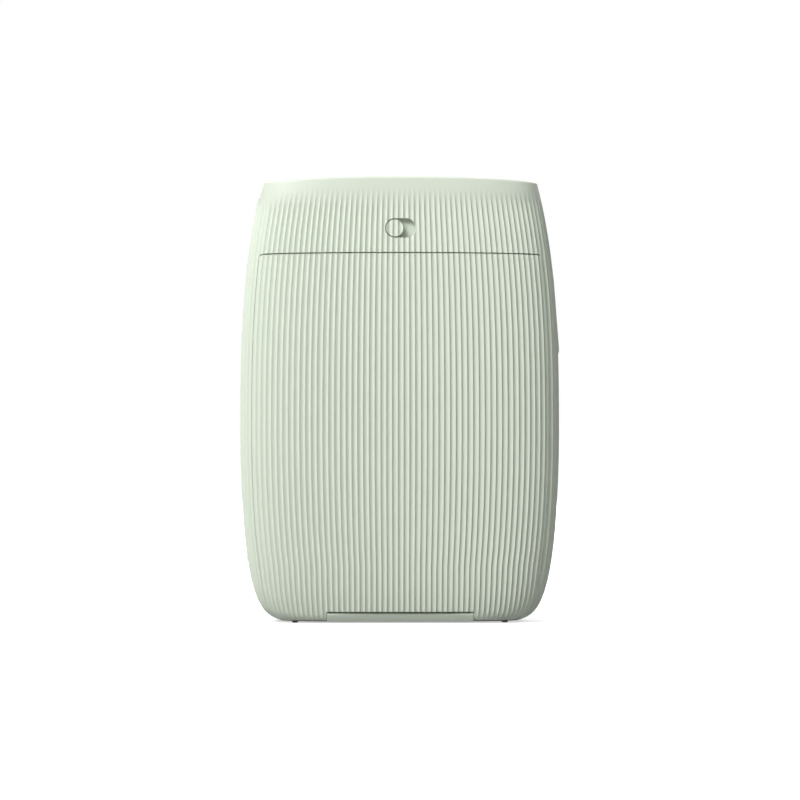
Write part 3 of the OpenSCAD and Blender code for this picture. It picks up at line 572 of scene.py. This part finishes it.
# %% The door's skin
def door_layer(grow, depth, fluted=True):
    """The door's grid, its border and its notch set back by grow. The upper corners follow an
    arc that stops just short of upright."""
    u = np.tile(door_columns, (len(door_heights), 1))
    z = np.tile(door_heights[:, None], (1, len(door_columns)))
    u[:, 0] += grow / PITCH
    u[:, -1] -= grow / PITCH
    z[0] += grow
    z[-1] -= grow
    z[NOTCH_ROW, notch[0]:notch[1] + 1] += grow
    for side, column in zip((-1, 1), notch):
        rows = slice(0, NOTCH_ROW + 1)
        u[rows, column] = flute_at_x(side * (NOTCH_X + grow), door_heights[rows])
    past = np.clip(np.abs(u[-1]) * PITCH - (DOOR_SKIN_U * PITCH - CORNER_R), 0, CORNER_R)
    z[-1] -= CORNER_R - np.sqrt(CORNER_R**2 - past**2 * 0.999)
    points = skin_points(u, z, 0, 1, 0, fluted=False)
    inward = depth + (groove(u, z) if fluted else 0)
    rx, ry = ring_at(u, z)
    return points - np.stack([rx * inward, ry * inward, 0 * rx], -1)


door_solid = np.ones((len(door_heights) - 1, len(door_columns) - 1), bool)
door_solid[:NOTCH_ROW, notch[0]:notch[1]] = False
door_layers = door_layer(BREAK, 0), door_layer(0, BREAK), door_layer(0, DOOR_WALL, False)
fill_mesh("door_skin", *wall_mesh(*door_layers, door_solid), "door", "shell_green", ["film_door"])

# %% [markdown]
# ## The latch knob
# The knob is cut from the same fluted skin and sits flush in its slot. Its face is a disc of
# rings and spokes whose depth is read from the skin, so that its flutes line up with the
# ones round it. A broken edge, a straight side and the flange behind the slot follow.

# %% The knob from rings and spokes
KNOB_X, KNOB_R, SLIDER_Y, FLANGE_Y = -1.6, 2.4, -14.2, -14.7
FLUSH = 0.03  # how far its face stays behind the skin
SPOKES = 120
SPOKE_ANGLES = np.linspace(0, 2 * np.pi, SPOKES, endpoint=False)


def skin_y(x, z):
    """Depth of the fluted skin on the door side at x and z."""
    u = flute_at_x(x, z)
    return ring_at(u, z)[1] * (half_d(z) - groove(u, z))


def skin_rings(radii, behind):
    """Rings of the given radii round the knob's middle, each point as far behind the skin."""
    x = KNOB_X + np.outer(radii, np.cos(SPOKE_ANGLES))
    z = LATCH_Z + np.outer(radii, np.sin(SPOKE_ANGLES))
    return np.stack([x, skin_y(x, z) + behind, z], -1)


def pill(half_straight, radius, y):
    """Outline of a slot with round ends: a circle pulled apart sideways."""
    x = KNOB_X + radius * np.cos(SPOKE_ANGLES) + half_straight * np.clip(np.cos(SPOKE_ANGLES) * 40, -1, 1)
    return np.stack([x, 0 * x + y, LATCH_Z + radius * np.sin(SPOKE_ANGLES)], -1)[None]


rings = np.concatenate([
    skin_rings(np.linspace(0.08, KNOB_R - 0.14, 26), FLUSH),
    skin_rings([KNOB_R - 0.05], 0.07), skin_rings([KNOB_R], 0.2), pill(0, KNOB_R, FLANGE_Y),
    pill(3.2, 3.0, FLANGE_Y), pill(3.2, 3.1, FLANGE_Y + 0.1), pill(3.2, 3.1, SLIDER_Y)])
face_tip = [KNOB_X, float(skin_y(KNOB_X, LATCH_Z)) + FLUSH, LATCH_Z]
knob_points = np.concatenate([rings.reshape(-1, 3), [face_tip, [KNOB_X, SLIDER_Y, LATCH_Z]]])
knob_faces = [
    tube_cells(len(rings), SPOKES)[:, ::-1], fan(0, SPOKES, rings.size // 3, False),
    fan((len(rings) - 1) * SPOKES, SPOKES, rings.size // 3 + 1, True)]
fill_mesh("latch_thumb_piece", knob_points, knob_faces, "latch", "shell_green", ["latch_knob"])

# %% [markdown]
# ## The hinge block
# Under the door a fixed block holds the hinge pin. From the door side it shows a plain face
# that leans out a little towards a bright bevel along its top, so it is one section carried
# along X, with its ends broken. Behind it a flat tongue lies on the floor of the housing.

# %% The hinge block from one section
BLOCK_END, END_BREAK, PIN_Y, BLOCK_LOW, BLOCK_HIGH = 20.5, 0.12, -12.6, 0.45, 3.08
TONGUE_X, TONGUE_Z = 16, 2.05
section = np.array([
    [-1.5, BLOCK_LOW], [-1.62, 0.57], [-2.3, 2.5], [-2.24, 2.68], [-1.98, 3.0], [-1.84, BLOCK_HIGH],
    [0.3, BLOCK_HIGH], [0.7, 2.85], [0.8, 2.6], [0.8, BLOCK_LOW]]) + [PIN_Y, 0]
middle = section.mean(0)
block_rings = np.stack([
    np.column_stack([np.full(len(section), x), middle + (section - middle) * share])
    for x, share in ((-BLOCK_END, 0.94), (-BLOCK_END + END_BREAK, 1),
                     (BLOCK_END - END_BREAK, 1), (BLOCK_END, 0.94))])
tips = [[-BLOCK_END, *middle], [BLOCK_END, *middle]]
tongue_plan = [(-TONGUE_X, PIN_Y + 0.6), (TONGUE_X, PIN_Y + 0.6),
               (TONGUE_X, PIN_Y + 7.5), (-TONGUE_X, PIN_Y + 7.5)]
tongue = [[x, y, z] for z in (TONGUE_Z, TONGUE_Z + 1) for x, y in tongue_plan]
count, after = len(section), block_rings.size // 3
block_faces = [
    tube_cells(4, count)[:, ::-1], fan(0, count, after, False), fan(3 * count, count, after + 1, True),
    tube_cells(2, 4, after + 2), after + 2 + np.array([[3, 2, 1, 0], [4, 5, 6, 7]])]
fill_mesh("hinge_cover", np.concatenate([block_rings.reshape(-1, 3), tips, tongue]), block_faces,
          "case", "shell_green", ["hinge_block"])

# %% [markdown]
# ## Turned and rounded buttons
# The power button is a shallow dish with a soft edge, and the light ring a clear ring with a
# rounded front. Both are profiles carried round an outline. The long button on the side
# uses the same idea with a slot for its outline, on a frame that leans with the wall.


# %% A profile round an outline
def carried(name, outline, profile, place, body, slot, instead, closed_profile=False):
    """outline(inset) is m by 2, profile a list of inset and height; place maps a, b and height
    to x, y and z. The ends are closed by fans, or the profile is a loop of its own."""
    points = np.stack([
        np.column_stack([outline(inset), np.full(len(outline(inset)), height)])
        for inset, height in profile])
    rows, count = points.shape[:2]
    flat_points = points.reshape(-1, 3)
    faces = [tube_cells(rows, count)]
    if closed_profile:
        first, last = np.arange(count), (rows - 1) * count + np.arange(count)
        faces.append(np.stack([last, np.roll(last, -1), np.roll(first, -1), first], -1))
    else:
        tips = [np.append(points[k, :, :2].mean(0), points[k, 0, 2]) for k in (0, -1)]
        flat_points = np.concatenate([flat_points, tips])
        faces.append(fan(0, count, rows * count, True))
        faces.append(fan((rows - 1) * count, count, rows * count + 1, False))
    fill_mesh(name, place(flat_points), faces, body, slot, instead)


def circle(radius, count=160):
    """Outline of a circle, less the inset."""
    angle = np.linspace(0, 2 * np.pi, count, endpoint=False)
    return lambda inset: np.column_stack([np.cos(angle), np.sin(angle)]) * (radius - inset)


def long_slot(length, width, count=96):
    """Outline of a slot along b, less the inset."""
    angle = np.linspace(0, 2 * np.pi, count, endpoint=False) + np.pi / count
    straight = (length - width) / 2
    return lambda inset: np.column_stack([
        np.cos(angle) * (width / 2 - inset),
        np.sin(angle) * (width / 2 - inset) + straight * np.sign(np.sin(angle))])


def rounding(radius, height, steps=6):
    """Quarter circle from the side to the face: inset and height."""
    angle = np.radians(np.linspace(0, 90, steps))
    return [(radius * (1 - np.cos(a)), height - radius * (1 - np.sin(a))) for a in angle]


print("inset and height over a 1 mm edge:", [(round(a, 2), round(b, 2)) for a, b in rounding(1, 0, 3)])

# %% Power button and light ring
POWER_R, DISH_R, DISH_DEPTH, RING_R = 7.5, 6.6, 0.25, 9.1
button_low, button_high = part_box("power_button")
ring_low, ring_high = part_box("power_ring")


def front_place(p):
    """Lays an outline on the front: a runs to -X, b up and the height along +Y."""
    return np.stack([-p[:, 0], p[:, 2], BUTTON_Z + p[:, 1]], -1)


face_y, back_y = button_high.y / MM, button_low.y / MM
dish = [(POWER_R - r, face_y - DISH_DEPTH * (1 - (r / DISH_R) ** 2)) for r in np.linspace(6.4, 0.4, 14)]
carried("power_key", circle(POWER_R),
        [(-1, back_y), (-1, back_y + 0.9), (0, back_y + 0.9), *rounding(0.55, face_y), *dish],
        front_place, "power", "shell_green", ["power_button"])
ring_y, ring_back = ring_high.y / MM, ring_low.y / MM
ring_profile = [
    (0, ring_back), (0, ring_y - 0.35), (0.1, ring_y - 0.15), (0.3, ring_y - 0.02), (0.55, ring_y),
    (0.85, ring_y), (1.1, ring_y - 0.02), (1.3, ring_y - 0.15), (1.4, ring_y - 0.35), (1.4, ring_back)]
carried("light_ring", circle(RING_R), ring_profile, front_place, "case", "light_ring",
        ["power_ring"], closed_profile=True)

# %% The long button on the side
KEY_LENGTH, KEY_WIDTH, KEY_LEAN = 22, 4, radians(4.4)
KEY_PROUD = 0.1
key_x = float(half_w(KEY_Z)) + KEY_PROUD


def key_place(p):
    """Height runs out along +X, b up; the frame leans inwards at the top by 4.4 degrees."""
    out, up = p[:, 2], p[:, 1]
    return np.stack([key_x + out * np.cos(KEY_LEAN) - up * np.sin(KEY_LEAN), p[:, 0],
                     KEY_Z + up * np.cos(KEY_LEAN) + out * np.sin(KEY_LEAN)], -1)


key_face = [(0.4 + s * 1.2, 0.0) for s in (0, 0.5, 1.0)]
carried("side_key", long_slot(KEY_LENGTH, KEY_WIDTH),
        [(0, -4.5), (0, -3.4), (-0.8, -3.4), (-0.8, -2.6), (0, -2.6), *rounding(0.4, 0), *key_face],
        key_place, "function", "shell_green", ["function_button"])

# %% [markdown]
# ## Shared effects
# Moulded plastic is never one flat colour. A fine spark-eroded grain breaks up its gloss,
# and large soft clouds change its tone a little. Several plastics share this effect, so it
# is built once as a node group that puts out a colour, a roughness and a height. Metals
# share a second group, with streaks drawn out along the direction of brushing.

# %% Node helpers
FLOAT, COLOR = "NodeSocketFloat", "NodeSocketColor"


def add_node(tree, kind, values=None, **settings):
    """A node with its settings, its input values and its incoming links."""
    made = tree.nodes.new(kind)
    for key, value in settings.items():
        setattr(made, key, value)
    for key, value in (values or {}).items():
        socket = made.inputs[key]
        if isinstance(value, bpy.types.NodeSocket):
            tree.links.new(value, socket)
        else:
            socket.default_value = value
    return made


def calculate(tree, operation, *values):
    """The result of a Math node."""
    return add_node(tree, "ShaderNodeMath", dict(enumerate(values)), operation=operation).outputs[0]


def object_place(tree):
    """Each point's place on the piece, in metres."""
    return add_node(tree, "ShaderNodeTexCoord").outputs["Object"]


def noise(tree, vector, scale, detail=2.0, rough=0.5):
    """Noise of about zero to one round one half."""
    return add_node(tree, "ShaderNodeTexNoise", {
        "Vector": vector, "Scale": scale, "Detail": detail, "Roughness": rough}).outputs["Fac"]


def span(tree, value, low, high, start=0.3, end=0.7):
    """Maps start to end, which is where most of a noise lies, onto low to high."""
    return add_node(tree, "ShaderNodeMapRange", {
        "Value": value, "From Min": start, "From Max": end, "To Min": low, "To Max": high}).outputs[0]


def new_group(name, inputs):
    """An empty group that takes the named values and puts out Color, Roughness and Height."""
    tree = bpy.data.node_groups.new(name, "ShaderNodeTree")
    for socket, kind, value in inputs:
        made = tree.interface.new_socket(socket, in_out="INPUT", socket_type=kind)
        made.default_value = value
    for socket, kind in (("Color", COLOR), ("Roughness", FLOAT), ("Height", FLOAT)):
        tree.interface.new_socket(socket, in_out="OUTPUT", socket_type=kind)
    return tree, tree.nodes.new("NodeGroupInput").outputs, tree.nodes.new("NodeGroupOutput").inputs


def put_out(tree, outputs, color, roughness, height):
    """Links a group's three results to its outputs."""
    for socket, value in (("Color", color), ("Roughness", roughness), ("Height", height)):
        tree.links.new(value, outputs[socket])


print("kinds of group socket:", FLOAT, COLOR)

# %% Moulded grain
grain, grain_in, grain_out = new_group(
    "moulded_grain",
    [("Color", COLOR, (0.5, 0.5, 0.5, 1)), ("Grain Scale", FLOAT, 3000.0), ("Cloud Scale", FLOAT, 45.0),
     ("Clouding", FLOAT, 0.05), ("Roughness Low", FLOAT, 0.45), ("Roughness High", FLOAT, 0.6)])
here = object_place(grain)
fine = noise(grain, here, grain_in["Grain Scale"], 3.0, 0.6)
cloud = noise(grain, here, grain_in["Cloud Scale"], 3.0)
mixed = calculate(grain, "ADD", fine, cloud)
tone = calculate(grain, "ADD", mixed, -1.0)
shift = calculate(grain, "MULTIPLY", tone, grain_in["Clouding"])
level = calculate(grain, "ADD", shift, 1.0)
toned = add_node(grain, "ShaderNodeVectorMath", {0: grain_in["Color"], "Scale": level}, operation="SCALE")
gloss = span(grain, mixed, grain_in["Roughness Low"], grain_in["Roughness High"], 0.7, 1.3)
put_out(grain, grain_out, toned.outputs[0], gloss, fine)
print("moulded grain:", len(grain.nodes), "nodes")

# %% Brushed streaks
brushed, brushed_in, brushed_out = new_group(
    "brushed_streaks",
    [("Color", COLOR, (0.6, 0.6, 0.6, 1)), ("Along", FLOAT, 60.0), ("Across", FLOAT, 4000.0),
     ("Roughness Low", FLOAT, 0.2), ("Roughness High", FLOAT, 0.4)])
stretch = add_node(brushed, "ShaderNodeCombineXYZ", {
    "X": brushed_in["Along"], "Y": brushed_in["Across"], "Z": brushed_in["Across"]})
drawn = add_node(brushed, "ShaderNodeVectorMath", {
    0: object_place(brushed), 1: stretch.outputs[0]}, operation="MULTIPLY")
streak = noise(brushed, drawn.outputs[0], 1.0, 4.0, 0.6)
shade = span(brushed, streak, 0.88, 1.06)
toned = add_node(brushed, "ShaderNodeVectorMath", {0: brushed_in["Color"], "Scale": shade}, operation="SCALE")
gloss = span(brushed, streak, brushed_in["Roughness Low"], brushed_in["Roughness High"])
put_out(brushed, brushed_out, toned.outputs[0], gloss, streak)
print("brushed streaks:", len(brushed.nodes), "nodes")

# %% [markdown]
# ## The finishes
# A finish is one Principled shader fed by one of the two effects. Values that are the same
# all over, such as the sheen of a coat, sit on the shader itself.

# %% Finish from an effect
GRAIN_RELIEF, STREAK_RELIEF = 0.00004, 0.00002  # metres


def bare_tree(owner):
    """The node tree of a material or world, emptied."""
    owner.use_nodes = True
    owner.node_tree.nodes.clear()
    return owner.node_tree


def finish(name, effect, color, bump, distance, values, shader):
    """Effect into colour, roughness and bump of one Principled shader."""
    material = bpy.data.materials.new(name)
    tree = bare_tree(material)
    source = add_node(tree, "ShaderNodeGroup", node_tree=effect)
    source.inputs["Color"].default_value = (*color, 1)
    for key, value in values.items():
        source.inputs[key].default_value = value
    relief = add_node(tree, "ShaderNodeBump", {
        "Height": source.outputs["Height"], "Strength": bump, "Distance": distance})
    surface = add_node(tree, "ShaderNodeBsdfPrincipled", {
        "Base Color": source.outputs["Color"], "Roughness": source.outputs["Roughness"],
        "Normal": relief.outputs[0], **shader})
    add_node(tree, "ShaderNodeOutputMaterial", {"Surface": surface.outputs[0]})
    return material


def moulded(name, color, low, high, scale=3000.0, clouding=0.06, bump=0.12, shader=None):
    """A plastic or elastomer with moulded grain."""
    values = {"Grain Scale": scale, "Clouding": clouding, "Roughness Low": low, "Roughness High": high}
    return finish(name, grain, color, bump, GRAIN_RELIEF, values, shader or {})


def metal(name, color, low, high, along=60.0, across=4000.0):
    """A brushed or drawn metal."""
    values = {"Along": along, "Across": across, "Roughness Low": low, "Roughness High": high}
    return finish(name, brushed, color, 0.1, STREAK_RELIEF, values, {"Metallic": 1.0})


SAGE = (0.63, 0.69, 0.587)
sage = moulded("sage_satin", SAGE, 0.42, 0.55, 3500.0, 0.035, 0.08)
sage_polished = moulded("sage_polished", SAGE, 0.3, 0.4, 3500.0, 0.03, 0.03)
black_plastic = moulded("black_grained", (0.018, 0.018, 0.02), 0.45, 0.6, 2600.0, 0.3, 0.3)
nylon = moulded("white_nylon", (0.78, 0.78, 0.74), 0.3, 0.42, 1500.0, 0.05, 0.05,
                {"Subsurface Weight": 0.1, "Subsurface Scale": 0.001})
# The feet take the body's sage darkened to about half: painted shade for the shadow under the body.
shaded_rubber = moulded("foot_rubber", (0.3, 0.34, 0.27), 0.6, 0.75, 2000.0, 0.1, 0.2)
chip_resin = moulded("chip_resin", (0.02, 0.02, 0.022), 0.5, 0.65, 6000.0, 0.4, 0.2)
head_plastic = moulded("exposure_head", (0.035, 0.035, 0.05), 0.35, 0.5, 2600.0, 0.25, 0.25)
milky = moulded("milky_ring", (0.86, 0.88, 0.86), 0.25, 0.35, 900.0, 0.03, 0.03,
                {"Subsurface Weight": 0.4, "Subsurface Scale": 0.002})
solder_mask = moulded("solder_mask", (0.02, 0.13, 0.06), 0.25, 0.4, 700.0, 0.35, 0.1,
                      {"Coat Weight": 0.3})
steel = metal("brushed_steel", (0.62, 0.63, 0.65), 0.22, 0.4)
ground_steel = metal("ground_steel", (0.66, 0.67, 0.69), 0.12, 0.25, 3000.0, 300.0)
brass = metal("turned_brass", (0.78, 0.56, 0.24), 0.2, 0.35, 2500.0, 900.0)
cell_pouch = metal("cell_pouch", (0.55, 0.56, 0.58), 0.35, 0.5, 300.0, 500.0)
print("materials in the file so far:", len(bpy.data.materials))

# %% [markdown]
# The socket's shell is steel and its tongue black, but both are one CAD node. Its material
# tells them apart by place: the tongue is the thin slice round the middle plane.

# %% The charging socket's two materials
TONGUE_HALF_THICK, TONGUE_HALF_WIDE = 0.00036, 0.0033  # metres, as the shader measures


def socket_finish():
    """Brushed steel, with black wherever the point lies within 0.36 mm of y = 0 and within
    3.3 mm of the socket's height."""
    material = metal("socket_steel", (0.6, 0.61, 0.63), 0.2, 0.35)
    tree = material.node_tree
    surface = next(x for x in tree.nodes if x.type == "BSDF_PRINCIPLED")
    steel_color = surface.inputs["Base Color"].links[0].from_socket
    axes = add_node(tree, "ShaderNodeSeparateXYZ", {0: object_place(tree)})
    off_y = calculate(tree, "ABSOLUTE", axes.outputs["Y"])
    off_z = calculate(tree, "ABSOLUTE", calculate(tree, "SUBTRACT", axes.outputs["Z"], USB_Z * MM))
    thin = calculate(tree, "LESS_THAN", off_y, TONGUE_HALF_THICK)
    short = calculate(tree, "LESS_THAN", off_z, TONGUE_HALF_WIDE)
    tongue = calculate(tree, "MULTIPLY", thin, short)
    color = add_node(tree, "ShaderNodeMix", {
        0: tongue, 6: steel_color, 7: (0.015, 0.015, 0.016, 1)}, data_type="RGBA")
    tree.links.new(color.outputs[2], surface.inputs["Base Color"])
    tree.links.new(calculate(tree, "SUBTRACT", 1.0, tongue), surface.inputs["Metallic"])
    return material


socket_steel = socket_finish()
print("socket finish:", len(socket_steel.node_tree.nodes), "nodes")

# %% [markdown]
# The skins get the satin sage, and the parts that show through the slots and behind the open
# door get what such parts are made of. A table of finishes and piece names keeps this in one
# place.

# %% Hand the finishes out
FINISHES = {
    sage: ["rear_skin", "front_skin", "door_skin", "latch_thumb_piece", "power_key", "side_key"],
    sage_polished: ["hinge_cover"],
    black_plastic: ["door_liner", "latch_slider", "latch_guide", "pressure_pad_left",
                    "pressure_pad_right", "film_chamber", "exit_guide", "usb_bezel"],
    steel: ["hinge_pin", "pad_springs", "drive_frame", "motor", "power_switch"],
    ground_steel: ["drive_roller", "pinch_roller", "gear_axles", "motor_shaft", "case_screws"],
    nylon: ["roller_bushes", "drive_roller_gear", "pinch_roller_gear", "reduction_gear_one",
            "reduction_gear_two"],
    brass: ["motor_pinion"],
    solder_mask: ["main_board", "usb_board", "function_switch"],
    chip_resin: ["board_chips"],
    cell_pouch: ["battery"],
    head_plastic: ["exposure_head"],
    shaded_rubber: ["feet"],
    milky: ["light_ring"],
    socket_steel: ["usb_socket"],
}
for material, names in FINISHES.items():
    for name in names:
        piece = bpy.data.objects[name]
        piece.data.materials.clear()
        piece.data.materials.append(material)
        piece.data.polygons.foreach_set("material_index", np.zeros(len(piece.data.polygons), np.int32))

# %% [markdown]
# ## The floor and the white round it
# The printer stands against plain white, with its shadow at its foot. Lighting a floor until
# it is white would flood the object too. So the floor is paper with a little light of its
# own for the camera and for reflections, more of it further away, and a dim surface for all
# other light. The white of the world is for the same rays only, and the sky that lights the
# object is almost dark.

# %% Floor and sky
WHITE, SKY = (1, 1, 1, 1), 0.03
FLOOR_REACH, LIFT_NEAR, LIFT_FAR = 6.0, 0.35, 1.3


def seen_by_camera(tree):
    """One for camera, glossy and transmission rays, zero for the rest."""
    rays = add_node(tree, "ShaderNodeLightPath").outputs
    first = calculate(tree, "MAXIMUM", rays["Is Camera Ray"], rays["Is Glossy Ray"])
    return calculate(tree, "MAXIMUM", first, rays["Is Transmission Ray"])


def show(tree, output, unseen, seen):
    """One shader for the light and another for the camera, into the tree's output."""
    chosen = add_node(tree, "ShaderNodeMixShader", {
        0: seen_by_camera(tree), 1: unseen.outputs[0], 2: seen.outputs[0]})
    add_node(tree, output, {"Surface": chosen.outputs[0]})


floor_mesh = bpy.data.meshes.new("floor")
floor_corners = [(x * FLOOR_REACH, y * FLOOR_REACH, 0) for x, y in ((-1, -1), (1, -1), (1, 1), (-1, 1))]
floor_mesh.from_pydata(floor_corners, [], [(0, 1, 2, 3)])
floor = bpy.data.objects.new("floor", floor_mesh)
bpy.context.scene.collection.objects.link(floor)
floor_paper = bpy.data.materials.new("floor_paper")
floor_mesh.materials.append(floor_paper)
tree = bare_tree(floor_paper)
paper = add_node(tree, "ShaderNodeBsdfDiffuse", {"Color": (0.8, 0.8, 0.8, 1)})
dim = add_node(tree, "ShaderNodeBsdfDiffuse", {"Color": (0.3, 0.3, 0.3, 1)})
away = add_node(tree, "ShaderNodeVectorMath", {0: object_place(tree)}, operation="LENGTH")
fading = span(tree, away.outputs["Value"], 0.6, 1.0, LIFT_NEAR, LIFT_FAR)
lift = add_node(tree, "ShaderNodeEmission", {"Color": WHITE, "Strength": fading})
lifted = add_node(tree, "ShaderNodeAddShader", {0: paper.outputs[0], 1: lift.outputs[0]})
show(tree, "ShaderNodeOutputMaterial", dim, lifted)

world = bpy.data.worlds.new("studio")
bpy.context.scene.world = world
tree = bare_tree(world)
sky = add_node(tree, "ShaderNodeBackground", {"Color": WHITE, "Strength": SKY})
backdrop = add_node(tree, "ShaderNodeBackground", {"Color": WHITE, "Strength": 1.0})
show(tree, "ShaderNodeOutputWorld", sky, backdrop)
print("strength of the sky:", SKY)

# %% [markdown]
# ## Lamps
# Soft square lamps give the even light of a product photo. The key lamp stands high on the
# left before the door side, so that its light rakes across the flutes and draws them. A weak
# one lower in front keeps their far sides open, one high on the right lights that side, and
# one overhead the top. A large low one on the far side serves views of the printer's front.

# %% Lamps
AIM = Vector((0, 0, 0.06))


def soft_lamp(name, place, size, watts):
    """A square area lamp that looks at the middle of the body."""
    data = bpy.data.lights.new(name, "AREA")
    data.size, data.energy = size, watts
    lamp = bpy.data.objects.new(name, data)
    bpy.context.scene.collection.objects.link(lamp)
    lamp.location = place
    lamp.rotation_euler = (lamp.location - AIM).to_track_quat("Z", "Y").to_euler()
    print(name, watts, "W from", round((lamp.location - AIM).length, 2), "m")


soft_lamp("key_lamp", (-0.66, -0.74, 0.92), 0.6, 19.5)
soft_lamp("front_lamp", (-0.4, -1.1, 0.61), 0.4, 1.2)
soft_lamp("right_lamp", (0.82, -0.15, 1.06), 0.4, 3.8)
soft_lamp("top_lamp", (0, -0.1, 1.3), 0.4, 2.0)
soft_lamp("back_lamp", (-0.15, 1.3, 0.45), 0.8, 13.0)

# %% [markdown]
# ## Camera
# The photo looks square at the door side, a degree from the left. A long lens from 1.2 m
# keeps the sides as straight as they are there, and its focal length follows from how many
# pixels of the picture a millimetre of the printer takes.

# %% The long lens
DISTANCE, PIXELS_PER_MM, SENSOR, FRAME_PX = 1.2, 3.534, 36.0, 800
OFF_MIDDLE, YAW = 0.00014, radians(-1.0)
lens = bpy.data.cameras.new("long_lens")
lens.sensor_width = SENSOR
lens.lens = PIXELS_PER_MM * SENSOR / FRAME_PX * DISTANCE * 1000
camera = bpy.data.objects.new("camera", lens)
bpy.context.scene.collection.objects.link(camera)
camera.location = (DISTANCE * np.sin(YAW) + OFF_MIDDLE, -DISTANCE * np.cos(YAW), HEIGHT / 2 * MM)
camera.rotation_euler = (radians(90), 0, YAW)
bpy.context.scene.camera = camera
bpy.context.scene.view_settings.view_transform = "Standard"
print("focal length:", round(lens.lens, 1), "mm")
